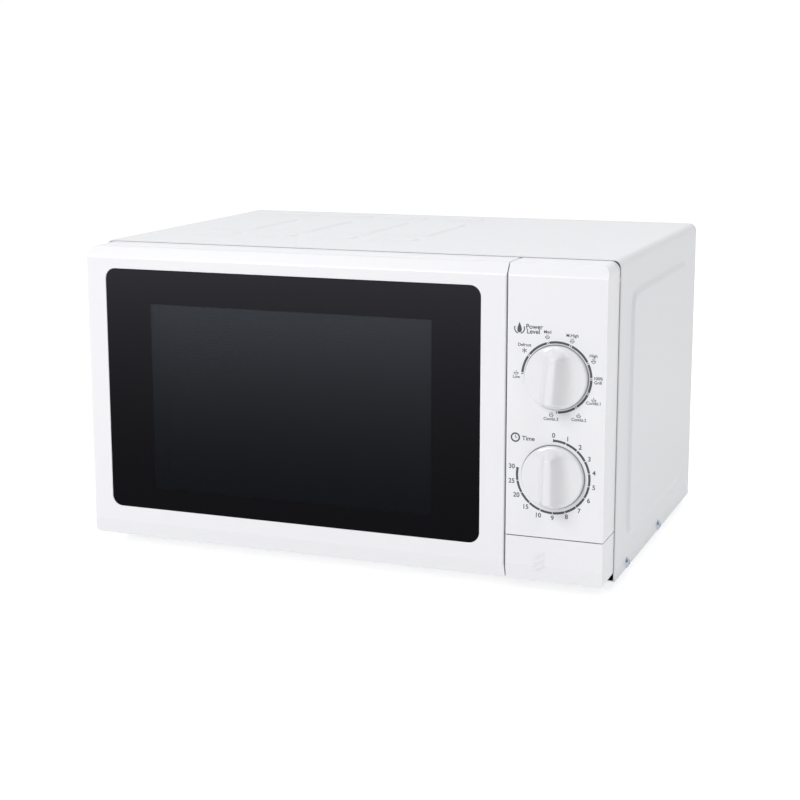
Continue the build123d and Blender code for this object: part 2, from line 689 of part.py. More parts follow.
def microswitches():
    switches = []
    for z in (hook_z[0] + 8, hook_z[0] + 45, hook_z[1] + 6):
        body = block(web_x1, web_x1 + 10, hook_tip_y - 8, hook_tip_y + 19, z, z + 16)
        body += block(web_x1 + 3, web_x1 + 7, hook_tip_y - 12, hook_tip_y - 8, z + 5, z + 8)
        for i in range(3):
            tag_z, tag_y = z + 1.5 + 5 * i, hook_tip_y + 19
            body += block(web_x1 + 4.6, web_x1 + 5.4, tag_y, tag_y + 8, tag_z, tag_z + 3)
        switches.append(body)
    return Compound(switches)


# ---------------------------------------------------------------- dials
def dial_unit(x, z, half_x, half_z, length, shaft_in=7.0):
    """Clockwork timer or power selector body with a bore for its shaft."""
    body = block(x - half_x, x + half_x, unit_y, unit_y + length, z - half_z, z + half_z)
    body -= rod_y(x, unit_y - 1, unit_y + shaft_in, z, shaft_radius + shaft_fit)
    for dx in (-unit_spread, unit_spread):
        body -= rod_y(x + dx, unit_y - 1, unit_y + 2, z - unit_spread, 1.2)
    for i in range(4):
        tag_x = x - 12 + 8 * i
        tag_y, tag_z = unit_y + length, z - half_z + 6
        body += block(tag_x - 2, tag_x + 2, tag_y, tag_y + 8, tag_z, tag_z + 0.8)
    return body


def timer_unit():
    body = dial_unit(timer_x, timer_z, 26, 24, 34)
    bell = Pos(timer_x, unit_y + 34, timer_z + 8) * Rot(-90, 0, 0)
    bell *= Cylinder(11, 6, align=(Align.CENTER, Align.CENTER, Align.MIN))
    return body + bell


def power_selector():
    return dial_unit(power_x, power_z, 25, 23, 28)


knob_y0 = face_y + dial_recess - 0.5
knob_disc_y = face_y - 4.0
knob_top_y = face_y - knob_height
grip_half = 6.5


def knob(x, z, angle):
    """Round dial with a raised grip bar across it, turned clockwise from upright."""
    disc = rod_y(x, knob_disc_y, knob_y0, z, knob_radius)
    disc = fillet(disc.edges().sort_by(Axis.Y)[0], 2.2)
    grip = block(x - grip_half, x + grip_half, knob_top_y, knob_disc_y + 4, z - knob_radius, z + knob_radius)
    grip = fillet(grip.edges().filter_by(Axis.Z).group_by(Axis.Y)[0], 4.5)
    grip = grip & rod_y(x, knob_top_y - 1, knob_disc_y + 5, z, knob_radius - 1.2)
    turn = Pos(x, 0, z) * Rot(0, angle, 0) * Pos(-x, 0, -z)
    return turn * (disc + grip) - rod_y(x, knob_top_y + 5, knob_y0 + 1, z, shaft_radius)


def dial_shaft(x, z):
    return rod_y(x, knob_top_y + 5, unit_y + 6.5, z, shaft_radius)


# ---------------------------------------------------------------- turntable
def turntable_motor():
    low = motor_top - 18
    can = rod_z(table_x, table_y, low, motor_top, motor_radius)
    can += block(table_x - 30, table_x + 30, table_y - 6, table_y + 6, motor_top - 1.5, motor_top)
    can -= rod_z(table_x, table_y, motor_top - 6, motor_top + 1, coupler_shaft_radius + shaft_fit)
    return can


coupler_arm, coupler_arm_half = 13.0, 3.0


def coupler():
    """Drive piece on the motor shaft, with three arms that turn the tray."""
    hub = rod_z(table_x, table_y, motor_top - 5, cavity_floor_z + 2, coupler_shaft_radius)
    hub += rod_z(table_x, table_y, cavity_floor_z + 2, tray_bottom, 7)
    for i in range(3):
        arm = Pos(coupler_arm / 2, 0, 0) * Box(coupler_arm, 2 * coupler_arm_half, 6)
        hub += Pos(table_x, table_y, tray_bottom - 3) * Rot(0, 0, 30 + 120 * i) * arm
    return hub


def glass_tray():
    r = tray_radius
    half_section = Polyline(
        (0, tray_bottom), (r - 16, tray_bottom), (r, tray_bottom + tray_rim - 3), (r, tray_bottom + tray_rim),
        (r - 3, tray_bottom + tray_rim), (r - 17.5, tray_bottom + tray_thick), (0, tray_bottom + tray_thick),
        close=True,
    )
    tray = revolve(Plane.XZ * make_face(half_section), Axis.Z)
    for i in range(3):
        lug = Pos(coupler_arm + 4, 0, tray_bottom - 2) * Box(6, 12, 4)
        tray += Rot(0, 0, 90 + 120 * i) * lug
    return Pos(table_x, table_y, 0) * tray


ring_z = cavity_floor_z + fit + roller_radius
ring_inner, ring_outer = roller_track - 17.0, roller_track - 8.0
axle_radius = 2.0


def roller_ring():
    ring = Cylinder(ring_outer, 4) - Cylinder(ring_inner, 5)
    for i in range(3):
        axle = Pos((ring_outer + roller_track) / 2 + 2, 0, 0) * Rot(0, 90, 0)
        axle *= Cylinder(axle_radius, roller_track - ring_outer + 6)
        ring += Rot(0, 0, 120 * i) * axle
    return Pos(table_x, table_y, ring_z) * ring


def roller(index):
    wheel = Cylinder(roller_radius, roller_width) - Cylinder(axle_radius + shaft_fit, roller_width + 2)
    for edge_side in (0, -1):
        ring_edges = wheel.edges().filter_by(GeomType.CIRCLE).group_by(Axis.Z)[edge_side]
        wheel = fillet(ring_edges.sort_by(SortBy.RADIUS)[-1], 1.2)
    placed = Pos(roller_track, 0, 0) * Rot(0, 90, 0) * wheel
    return Pos(table_x, table_y, ring_z) * Rot(0, 0, 120 * index) * placed


# ---------------------------------------------------------------- heating and power
def grill_element():
    """Sheathed heater bent in an M under the ceiling, its ends in the right wall."""
    left, right = cavity_x0 + 42, bay_x0 + 16
    mid = cavity_x1 - 60
    y0, y1 = heater_y
    path = FilletPolyline(
        (right, y0, heater_z), (left, y0, heater_z), (left, (y0 + y1) / 2 - 14, heater_z),
        (mid, (y0 + y1) / 2 - 14, heater_z), (mid, (y0 + y1) / 2 + 14, heater_z),
        (left, (y0 + y1) / 2 + 14, heater_z), (left, y1, heater_z), (right, y1, heater_z),
        radius=13,
    )
    section = Plane(origin=path @ 0, z_dir=path % 0) * Circle(heater_radius)
    tube = sweep(section, path=path)
    for y in heater_y:
        tube += rod_x(bay_x0, bay_x0 + 3, y, heater_z, 8) + rod_x(right, right + 8, y, heater_z, 1.5)
    return tube


def grill_clips():
    """Two steel straps that hang the heater from the ceiling."""
    clips = []
    for x in (cavity_x0 + 90, cavity_x1 - 90):
        y0, y1 = heater_y[0] - 8, heater_y[1] + 8
        low = heater_z - heater_radius - 0.1
        strap = block(x - 5, x + 5, y0, y1, low - 1, low)
        for y in (y0, y1 - 1):
            strap += block(x - 5, x + 5, y, y + 1, low - 1, cavity_z1)
        clips.append(strap)
    return Compound(clips)


def waveguide():
    x1 = bay_x0 + 36
    y0, y1 = guide_y - guide_width / 2, guide_y + guide_width / 2
    z0, z1 = guide_z - guide_height / 2, guide_z + guide_height / 2
    duct = block(bay_x0, x1, y0, y1, z0, z1)
    duct -= block(bay_x0 - 1, x1 - sheet, y0 + sheet, y1 - sheet, z0 + sheet, z1 - sheet)
    return duct - rod_x(x1 - 2, x1 + 1, guide_y, guide_z, 9)


def waveguide_cover():
    """Mica sheet over the inlet on the cavity side."""
    half_y, half_z = inlet_width / 2, inlet_height / 2
    y0, y1, z0, z1 = guide_y - half_y, guide_y + half_y, guide_z - half_z, guide_z + half_z
    return block(cavity_x1 - 0.5, cavity_x1, y0, y1, z0, z1)


mag_x0 = bay_x0 + 36


def magnetron():
    x0, x1 = mag_x0, mag_x0 + 52
    y0, y1, z0, z1 = guide_y - 40, guide_y + 40, guide_z - 32, guide_z + 32
    yoke = block(x0, x1, y0, y1, z0, z1) - block(x0 + 2, x1 - 2, y0 - 1, y1 + 1, z0 + 2, z1 - 2)
    for i in range(9):
        x = x0 + 6 + 5 * i
        yoke += block(x, x + 0.8, y0 + 4, y1 - 4, z0 + 1, z1 - 1)
    yoke += rod_x(x0, x1 - 2, guide_y, guide_z, 18)
    yoke += rod_x(x0 - 26, x0, guide_y, guide_z, 7)
    return yoke + block(x1 - 6, x1 + 6, y0 + 12, y0 + 44, z0, z0 + 22)


trans_x, trans_y = bay_x0 + 54, -12.0


def transformer_core():
    core = block(trans_x - 40, trans_x + 40, trans_y - 32, trans_y + 32, base_top + 2, base_top + 66)
    for z in (base_top + 14, base_top + 38):
        core -= block(trans_x - 41, trans_x + 41, trans_y - 20, trans_y - 8, z, z + 18)
        core -= block(trans_x - 41, trans_x + 41, trans_y + 8, trans_y + 20, z, z + 18)
    return core + block(trans_x - 46, trans_x + 46, trans_y - 32, trans_y + 32, base_top, base_top + 2)


def transformer_coils():
    coils = []
    for z in (base_top + 14, base_top + 38):
        for y in (-14, 14):
            y0, y1 = trans_y + y - 5.5, trans_y + y + 5.5
            coils.append(block(trans_x - 40, trans_x + 40, y0, y1, z + 0.5, z + 17.5))
    for z in (base_top + 14, base_top + 38):
        for side in (-1, 1):
            x0, x1 = (trans_x + 40, trans_x + 48) if side > 0 else (trans_x - 48, trans_x - 40)
            coils.append(block(x0, x1, trans_y - 19.5, trans_y + 19.5, z + 0.5, z + 17.5))
    lower = coils[0] + coils[1] + coils[4] + coils[5]
    upper = coils[2] + coils[3] + coils[6] + coils[7]
    return Compound([lower, upper])


cap_x, cap_y0, cap_y1, cap_z = bay_x0 + 34, 56.0, 148.0, base_top + 20.0


def hv_capacitor():
    can = extrude(SlotOverall(52, 34), cap_y1 - cap_y0, dir=(0, 0, 1))
    can = Pos(cap_x, cap_y1, cap_z) * Rot(90, 0, 0) * can
    for dx in (-12, 12):
        can += rod_y(cap_x + dx, cap_y0 - 10, cap_y0, cap_z, 4)
    return can


def capacitor_clamp():
    y0, y1 = (cap_y0 + cap_y1) / 2 - 8, (cap_y0 + cap_y1) / 2 + 8
    band = Pos(cap_x, y1, cap_z) * Rot(90, 0, 0) * extrude(SlotOverall(54, 36), y1 - y0)
    band -= Pos(cap_x, y1 + 1, cap_z) * Rot(90, 0, 0) * extrude(SlotOverall(52, 34), y1 - y0 + 2)
    foot = block(cap_x - 34, cap_x - 20, y0, y1, base_top, base_top + 1.2)
    riser = block(cap_x - 29, cap_x - 26.4, y0, y1, base_top, cap_z)
    return band + foot + riser


def hv_diode():
    y = cap_y0 - 16
    body = rod_x(cap_x + 4, cap_x + 24, y, base_top + 24, 2.6)
    lead = rod_x(cap_x - 10, cap_x + 38, y, base_top + 24, 0.6)
    tag = block(cap_x + 37, cap_x + 38, y - 4, y + 4, base_top, base_top + 28)
    return body + lead + tag


def lamp_holder():
    plate = block(bay_x0, bay_x0 + 1.2, lamp_y - 24, lamp_y + 24, lamp_z + 16, lamp_z + 30)
    arm = block(bay_x0, bay_x0 + 42, lamp_y - 10, lamp_y + 10, lamp_z + 16, lamp_z + 17.2)
    cup = rod_x(bay_x0 + 28, bay_x0 + 42, lamp_y, lamp_z, 9) + block(
        bay_x0 + 34, bay_x0 + 42, lamp_y - 10, lamp_y + 10, lamp_z, lamp_z + 17.2
    )
    return plate + arm + cup


bulb_radius, bulb_neck, bulb_end = 10.5, 6.5, 13.0    # glass ball, its neck, and where the neck ends


def lamp_bulb():
    """Pear-shaped bulb lying along X, its neck in the holder."""
    neck_x = sqrt(bulb_radius**2 - bulb_neck**2)
    section = make_face([
        CenterArc((0, 0), bulb_radius, 180, -180 + degrees(atan2(bulb_neck, neck_x))),
        Line((neck_x, bulb_neck), (bulb_end, bulb_neck)), Line((bulb_end, bulb_neck), (bulb_end, 0)),
        Line((bulb_end, 0), (-bulb_radius, 0)),
    ])
    return Pos(bay_x0 + 15, lamp_y, lamp_z) * revolve(Plane.XZ * section, Axis.X)


def thermostats():
    """Two snap-disc cut-outs: one on the cavity ceiling, one on the waveguide."""
    first = rod_z(table_x + 120, table_y + 60, cavity_z1 + sheet, cavity_z1 + sheet + 8, 8)
    second = rod_z(bay_x0 + 18, guide_y - 20, guide_z + guide_height / 2, guide_z + guide_height / 2 + 8, 8)
    return Compound([first, second])


board_z = 232.0


def filter_board():
    y1 = cabinet_y1 - sheet
    board = block(bay_x0 + 20, bay_x0 + 92, y1 - 46, y1, board_z, board_z + 1.6)
    board += rod_z(bay_x0 + 38, y1 - 24, board_z + 1.6, board_z + 14, 11)
    board += block(bay_x0 + 58, bay_x0 + 84, y1 - 34, y1 - 18, board_z + 1.6, board_z + 16)
    return board


shroud_y0, shroud_y1 = cabinet_y1 - sheet - 24, cabinet_y1 - sheet


def fan_shroud():
    half = fan_radius + 5
    body = block(fan_x - half, fan_x + half, shroud_y0, shroud_y1, fan_z - half, fan_z + half)
    body -= rod_y(fan_x, shroud_y0 - 1, shroud_y1 + 1, fan_z, fan_radius + 2.5)
    strut = 4.0
    for angle in (45, 135):
        arm = Box(2 * fan_radius + 8, strut, 8)
        body += Pos(fan_x, shroud_y0 + strut / 2, fan_z) * Rot(0, angle, 0) * arm
    return body - rod_y(fan_x, shroud_y0 - 1, shroud_y0 + 5, fan_z, 5)


def fan_motor():
    y1 = shroud_y0
    core = block(fan_x - 24, fan_x + 24, y1 - 18, y1, fan_z - 22, fan_z + 22)
    core -= rod_y(fan_x, y1 - 10, y1 + 1, fan_z, 2.5 + shaft_fit)
    return core


def fan_blade():
    hub_y0, hub_y1 = shroud_y0 + 6, shroud_y1 - 4
    hub = rod_y(fan_x, hub_y0, hub_y1, fan_z, 11) + rod_y(fan_x, shroud_y0 - 9, hub_y0, fan_z, 2.5)
    for i in range(5):
        blade = Pos(0, 0, (fan_radius + 9) / 2) * Rot(0, 0, 32) * Box(20, 1.6, fan_radius - 9)
        hub += Pos(fan_x, (hub_y0 + hub_y1) / 2, fan_z) * Rot(0, 72 * i, 0) * blade
    return hub


# ---------------------------------------------------------------- write every node
pieces = {
    "cabinet_cover": cabinet_cover, "side_screws": side_screws, "base_plate": base_plate, "feet": feet,
    "front_plate": front_plate_cut, "hinge_brackets": hinge_brackets, "cavity_shell": cavity_shell,
    "cavity_floor": cavity_floor, "cavity_back": cavity_back, "rear_panel": rear_panel,
    "rear_screws": rear_screws, "rear_spacers": rear_spacers, "cord_gland": cord_gland,
    "control_panel": control_panel, "latch_board": latch_board, "microswitches": microswitches,
    "timer_unit": timer_unit, "power_selector": power_selector, "turntable_motor": turntable_motor,
    "grill_element": grill_element, "grill_clips": grill_clips, "waveguide": waveguide,
    "waveguide_cover": waveguide_cover, "magnetron": magnetron, "transformer_core": transformer_core,
    "transformer_coils": transformer_coils, "hv_capacitor": hv_capacitor,
    "capacitor_clamp": capacitor_clamp, "hv_diode": hv_diode, "lamp_holder": lamp_holder,
    "lamp_bulb": lamp_bulb, "thermostats": thermostats, "filter_board": filter_board,
    "fan_shroud": fan_shroud, "fan_motor": fan_motor, "fan_blade": fan_blade, "door_frame": door_frame,
    "door_glass": door_glass, "hinge_pins": hinge_pins, "door_panel": door_panel,
    "screen_mesh": screen_mesh, "door_screws": door_screws, "choke_channel": choke_channel,
    "choke_cover": choke_cover, "inner_window": inner_window, "latch_hook": latch_hook,
    "latch_spring": latch_spring, "open_button": open_button, "button_springs": button_springs,
    "latch_lever": latch_lever, "coupler": coupler, "glass_tray": glass_tray, "roller_ring": roller_ring,
}

os.makedirs("parts", exist_ok=True)
for node, make in pieces.items():
    save(node, make())
for name, x, z, angle in (
    ("power", power_x, power_z, power_rest_angle), ("timer", timer_x, timer_z, 0.0)
):
    save(name + "_knob", knob(x, z, angle))
    save(name + "_shaft", dial_shaft(x, z))
for index in range(3):
    save("roller_" + str(index + 1), roller(index))

print("hinge axis", hinge_x, hinge_y)
print("dial axes", (power_x, power_z), (timer_x, timer_z))
print("lever axis", lever_y, lever_z, "hook lift", hook_lift)
print("turntable axis", table_x, table_y, "roller centre height", ring_z)
print("roller turns per tray turn", roller_track / (2 * roller_radius))
print("fan axis", fan_x, fan_z, "cord bore", gland_x, gland_z)
print("cavity", cavity_x0, cavity_x1, plate_y1, cavity_y1, cavity_floor_z, cavity_z1)
print("tray top", tray_bottom + tray_rim, "heater bottom", heater_z - heater_radius)
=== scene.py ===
# %% [markdown]
# # A microwave oven, dressed around its CAD frame
# The CAD model gives every piece its place and size. This lesson gives the pieces their finish, and
# rebuilds the four that need a finer surface than a CAD mesh has: the pressed steel cover, the two
# dials and the perforated screen. It adds the printed scales and the bright lip round the door glass,
# which the CAD leaves out. Everything is in metres in the CAD frame.
# %% Load the frame
import json
import math

import bpy
import numpy as np
from mathutils import Matrix, Vector


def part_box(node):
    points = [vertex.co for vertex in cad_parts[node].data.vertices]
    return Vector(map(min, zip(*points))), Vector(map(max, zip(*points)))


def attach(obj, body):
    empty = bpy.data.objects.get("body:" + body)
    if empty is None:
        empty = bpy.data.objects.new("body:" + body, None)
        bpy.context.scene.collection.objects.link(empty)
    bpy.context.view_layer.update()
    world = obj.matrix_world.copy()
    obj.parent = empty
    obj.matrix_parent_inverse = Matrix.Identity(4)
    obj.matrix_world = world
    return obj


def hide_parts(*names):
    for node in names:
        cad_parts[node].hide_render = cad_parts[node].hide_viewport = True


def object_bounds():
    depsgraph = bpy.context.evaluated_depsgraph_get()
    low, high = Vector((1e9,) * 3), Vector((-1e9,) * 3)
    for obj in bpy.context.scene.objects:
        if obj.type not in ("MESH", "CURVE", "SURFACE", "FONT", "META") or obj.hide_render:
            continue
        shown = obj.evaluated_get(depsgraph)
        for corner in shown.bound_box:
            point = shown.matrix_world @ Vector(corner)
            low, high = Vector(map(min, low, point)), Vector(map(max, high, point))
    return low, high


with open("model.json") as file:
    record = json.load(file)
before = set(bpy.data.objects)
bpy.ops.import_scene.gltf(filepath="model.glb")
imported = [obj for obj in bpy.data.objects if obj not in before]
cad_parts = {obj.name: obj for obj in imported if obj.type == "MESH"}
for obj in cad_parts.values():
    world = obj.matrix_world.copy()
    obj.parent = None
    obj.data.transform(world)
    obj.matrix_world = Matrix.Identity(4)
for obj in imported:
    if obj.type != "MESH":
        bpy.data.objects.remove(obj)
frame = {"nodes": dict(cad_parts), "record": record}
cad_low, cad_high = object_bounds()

MM = 0.001
print("CAD box", cad_low, cad_high, "nodes", len(frame["nodes"]))

# %% [markdown]
# A mesh is a list of points and a list of faces. One helper turns both into an object, and another
# hands it to the body it moves with, with its finish. Smooth shading is cut at sharp edges only.
# %% Helpers for meshes


def mesh_object(name, points, faces):
    mesh = bpy.data.meshes.new(name)
    mesh.from_pydata([tuple(p) for p in points], [], [tuple(f) for f in faces])
    mesh.validate()
    mesh.update()
    ob = bpy.data.objects.new(name, mesh)
    bpy.context.scene.collection.objects.link(ob)
    return ob


def shade(ob, sharp_degrees=35):
    """Smooth shading, except across edges sharper than the given angle."""
    ob.data.shade_smooth()
    ob.data.set_sharp_from_angle(angle=math.radians(sharp_degrees))


def dress(ob, body, material, replaces=()):
    """Material, body and CAD node of a piece made here."""
    ob.data.materials.clear()
    ob.data.materials.append(material)
    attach(ob, body)
    if replaces:
        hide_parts(*replaces)
    print(ob.name, "points", len(ob.data.vertices), "rides", body)
    return ob


def grid_faces(rows, columns, wrap=False, start=0):
    """Quads between neighbouring rows of points. With wrap, the last column meets the first."""
    faces = []
    last = columns if wrap else columns - 1
    for r in range(rows - 1):
        for c in range(last):
            d = (c + 1) % columns
            faces.append((start + r * columns + c, start + r * columns + d,
                          start + (r + 1) * columns + d, start + (r + 1) * columns + c))
    return faces


# %% [markdown]
# Colours are written as the sRGB hex values that a colour picker shows, and turned to linear once.
# A material is a small tree of nodes. One helper adds a node, sets its values and joins its inputs.
# %% Helpers for materials


def srgb(code):
    channels = [int(code[i:i + 2], 16) / 255 for i in (1, 3, 5)]
    linear = [c / 12.92 if c <= 0.04045 else ((c + 0.055) / 1.055) ** 2.4 for c in channels]
    return (*linear, 1.0)


def add_node(tree, kind, values=None, links=None, **settings):
    """A node with its own settings, the values of its sockets and the outputs joined to them."""
    node = tree.nodes.new(kind)
    for key, value in settings.items():
        setattr(node, key, value)
    for key, value in (values or {}).items():
        node.inputs[key].default_value = value
    for key, output in (links or {}).items():
        tree.links.new(output, node.inputs[key])
    return node


def new_material(name, **values):
    """A material with one Principled shader, and the shader."""
    material = bpy.data.materials.new(name)
    material.use_nodes = True
    shader = material.node_tree.nodes["Principled BSDF"]
    for key, value in values.items():
        shader.inputs[key.replace("_", " ")].default_value = value
    return material, material.node_tree, shader


def grain(tree, size_mm, detail=4.0, roughness=0.55, stretch=(1, 1, 1)):
    """Noise in object space whose lumps are about size_mm across."""
    place = add_node(tree, "ShaderNodeTexCoord")
    scale = add_node(tree, "ShaderNodeMapping", values={"Scale": stretch},
                     links={"Vector": place.outputs["Object"]})
    return add_node(tree, "ShaderNodeTexNoise",
                    values={"Scale": 1 / (size_mm * MM), "Detail": detail, "Roughness": roughness},
                    links={"Vector": scale.outputs["Vector"]})


def spread(tree, factor, low, high, start=0.3, end=0.7):
    """Maps a 0 to 1 factor onto the range from low to high."""
    return add_node(tree, "ShaderNodeMapRange",
                    values={"From Min": start, "From Max": end, "To Min": low, "To Max": high},
                    links={"Value": factor})


def blend_colours(tree, factor, first, second):
    """A colour between two hex values, by factor."""
    mix = add_node(tree, "ShaderNodeMix", data_type="RGBA", links={0: factor})
    mix.inputs[6].default_value = srgb(first)
    mix.inputs[7].default_value = srgb(second)
    return mix.outputs[2]


def relief(tree, shader, height, depth_mm, strength=1.0):
    """Bump of a given depth in millimetres."""
    bump = add_node(tree, "ShaderNodeBump", values={"Strength": strength, "Distance": depth_mm * MM},
                    links={"Height": height})
    tree.links.new(bump.outputs["Normal"], shader.inputs["Normal"])


def finish_with_grain(material, tree, shader, size_mm, colours, roughness, depth_mm,
                      detail=4.0, stretch=(1, 1, 1)):
    """Grain that drives colour, roughness and relief together, as most made surfaces have."""
    noise = grain(tree, size_mm, detail=detail, stretch=stretch)
    tree.links.new(blend_colours(tree, noise.outputs["Fac"], *colours), shader.inputs["Base Color"])
    rough = spread(tree, noise.outputs["Fac"], *roughness)
    tree.links.new(rough.outputs["Result"], shader.inputs["Roughness"])
    relief(tree, shader, noise.outputs["Fac"], depth_mm)
    return material


# %% [markdown]
# ## White mouldings
# The door, control panel, button and dials are injection-moulded ABS. The tool is polished, so the
# plastic is glossy with a faint orange peel a few millimetres wide, and a cloudy change in gloss where
# it cooled at different rates. ABS has an IOR of about 1.54. The dials come from a finer polished tool.
# %% ABS


def moulded_abs(name, light, dark, low, high, peel_mm=6.0, peel_depth=0.002):
    material, tree, shader = new_material(name, IOR=1.54)
    return finish_with_grain(
        material, tree, shader, peel_mm, (light, dark), (low, high), peel_depth, detail=0.0)


white_abs = moulded_abs("ABS_white", "#DBDBDE", "#DADADD", 0.29, 0.31)
dial_abs = moulded_abs("ABS_white_dial", "#D6D6D9", "#D5D5D8", 0.17, 0.19,
                       peel_mm=9.0, peel_depth=0.0015)
grey_abs = moulded_abs("ABS_light_grey", "#C9CBCE", "#C3C5C9", 0.35, 0.5)
print(white_abs.name, dial_abs.name, grey_abs.name)

# %% [markdown]
# ## Powder-coated cover
# The cover is folded steel with a white powder coat. Powder melts into a skin with a soft ripple of
# 1 to 3 mm, rougher than the ABS, and slightly greyer. The ripple is shallow, about 6 microns.
# %% Powder coat


def powder_coat(name, light, dark, ripple_mm=2.2):
    material, tree, shader = new_material(name, IOR=1.5, Specular_IOR_Level=0.35)
    return finish_with_grain(material, tree, shader, ripple_mm, (light, dark), (0.33, 0.43), 0.006)


cover_coat = powder_coat("powder_coat_white", "#D7D8DB", "#D5D6D9")
print(cover_coat.name)

# %% [markdown]
# ## Cavity enamel
# The cavity and the front plate are coated with light grey enamel with fine darker specks, which hide
# stains. A speck about 0.5 mm across sits in some of the cells of a 1.6 mm pattern, and the coat over
# it is glossy.
# %% Enamel


def speckled_enamel(name):
    material, tree, shader = new_material(name, IOR=1.5, Roughness=0.3)
    place = add_node(tree, "ShaderNodeTexCoord")
    cells = add_node(tree, "ShaderNodeTexVoronoi", values={"Scale": 1 / (1.6 * MM)},
                     links={"Vector": place.outputs["Object"]})
    specks = spread(tree, cells.outputs["Distance"], 1.0, 0.0, start=0.12, end=0.2)
    picked = add_node(tree, "ShaderNodeMath", operation="GREATER_THAN", values={1: 0.72},
                      links={0: cells.outputs["Color"]})
    shown = add_node(tree, "ShaderNodeMath", operation="MULTIPLY",
                     links={0: specks.outputs["Result"], 1: picked.outputs["Value"]})
    colour = blend_colours(tree, shown.outputs["Value"], "#C4C6C8", "#6F7275")
    tree.links.new(colour, shader.inputs["Base Color"])
    relief(tree, shader, grain(tree, 3.0).outputs["Fac"], 0.01)
    return material


cavity_enamel = speckled_enamel("enamel_speckled_grey")
print(cavity_enamel.name)

# %% [markdown]
# ## Metals
# Zinc-plated screws are bright and a little blue, with fine scratches. Galvanised sheet shows
# spangle: crystals some 6 mm across that each catch the light differently. Aluminium fins and cans
# are brushed or drawn. Iron laminations are varnished, copper windings are wire under brown enamel.
# %% Metals


def plated(name, light, dark, low, high, size_mm=1.2, depth=0.003, stretch=(1, 1, 1)):
    material, tree, shader = new_material(name, Metallic=1.0)
    return finish_with_grain(
        material, tree, shader, size_mm, (light, dark), (low, high), depth, stretch=stretch)


def spangled_zinc(name):
    material, tree, shader = new_material(name, Metallic=1.0)
    place = add_node(tree, "ShaderNodeTexCoord")
    cells = add_node(tree, "ShaderNodeTexVoronoi", values={"Scale": 1 / (6 * MM)},
                     links={"Vector": place.outputs["Object"]})
    grey = add_node(tree, "ShaderNodeRGBToBW", links={"Color": cells.outputs["Color"]})
    colour = blend_colours(tree, grey.outputs["Val"], "#A9ADB0", "#C6CACC")
    tree.links.new(colour, shader.inputs["Base Color"])
    rough = spread(tree, grey.outputs["Val"], 0.32, 0.5, start=0.0, end=1.0)
    tree.links.new(rough.outputs["Result"], shader.inputs["Roughness"])
    relief(tree, shader, grain(tree, 1.5).outputs["Fac"], 0.004)
    return material


bright_zinc = plated("zinc_plated_steel", "#C3CBD8", "#9AA4B4", 0.18, 0.32)
spring_steel = plated("spring_steel", "#8D9094", "#6B6E73", 0.25, 0.4, size_mm=0.8)
galvanised = spangled_zinc("galvanised_steel")
brushed_upright, layered_flat = (1, 1, 12), (0.1, 0.1, 1)
aluminium = plated("aluminium_drawn", "#CDD0D2", "#B4B7BA", 0.28, 0.42,
                   size_mm=0.7, stretch=brushed_upright)
iron_core = plated("iron_laminations_varnished", "#4A4B50", "#2E2F33", 0.4, 0.6,
                   size_mm=0.5, depth=0.05, stretch=layered_flat)
copper_wire = plated("copper_winding_enamelled", "#9A5A33", "#6E3B20", 0.25, 0.4,
                     size_mm=0.6, depth=0.08, stretch=layered_flat)
heater_steel = plated("stainless_steel_heat_tinted", "#6B625A", "#3F3A38", 0.35, 0.55, size_mm=6.0)
print("metals", bright_zinc.name, galvanised.name, aluminium.name, iron_core.name, copper_wire.name)

# %% [markdown]
# ## Small mouldings, rubber, mica and board
# Nylon is satin and slightly milky. Rubber feet are matt black. The microwave inlet's cover is
# pressed mica, with silvery flakes a few millimetres wide.
# %% Plastics, rubber, mica and board


def satin_moulding(name, light, dark, low, high, size_mm=1.5, depth=0.01, ior=1.53):
    material, tree, shader = new_material(name, IOR=ior)
    return finish_with_grain(material, tree, shader, size_mm, (light, dark), (low, high), depth)


white_nylon = satin_moulding("nylon_white", "#E4E3DD", "#DAD9D2", 0.4, 0.55)
black_nylon = satin_moulding("nylon_black", "#2A2B2D", "#1E1F21", 0.4, 0.6)
black_rubber = satin_moulding("rubber_black", "#232323", "#171717", 0.7, 0.85,
                              size_mm=0.8, depth=0.03, ior=1.52)
mica_sheet = satin_moulding("mica_pressed", "#A9977C", "#857459", 0.3, 0.6,
                            size_mm=4.0, depth=0.05, ior=1.56)
circuit_board = satin_moulding("phenolic_board", "#A5793F", "#8C6431", 0.35, 0.5, size_mm=0.7)
screen_paint = satin_moulding("enamel_dark_grey", "#5E6167", "#565A60", 0.45, 0.6, size_mm=1.8, ior=1.5)
black_enamel = satin_moulding("enamel_black", "#232427", "#1A1B1D", 0.3, 0.42, size_mm=1.8, ior=1.5)
print("mouldings", white_nylon.name, black_nylon.name, black_rubber.name, mica_sheet.name)

# %% [markdown]
# ## Glass and film
# The tray and the lamp are clear pressed glass. Clear film closes the inside of the screen. Both let
# light through; the tray is a little green at its edge because of iron in the glass.
# %% Clear glass


def clear_glass(name, tint, roughness, ior=1.5):
    material, tree, shader = new_material(
        name, IOR=ior, Base_Color=srgb(tint), Transmission_Weight=1.0, Roughness=roughness)
    relief(tree, shader, grain(tree, 9.0).outputs["Fac"], 0.02)
    return material


def clear_film_sheet(name, tint, share):
    """A thin clear sheet: light passes straight through, apart from its gloss."""
    material, tree, shader = new_material(name, IOR=1.5, Base_Color=srgb(tint), Roughness=0.08)
    relief(tree, shader, grain(tree, 14.0).outputs["Fac"], 0.02)
    through = add_node(tree, "ShaderNodeBsdfTransparent", values={"Color": srgb(tint)})
    mix = add_node(tree, "ShaderNodeMixShader", values={0: share},
                   links={1: through.outputs["BSDF"], 2: shader.outputs["BSDF"]})
    tree.links.new(mix.outputs["Shader"], tree.nodes["Material Output"].inputs["Surface"])
    return material


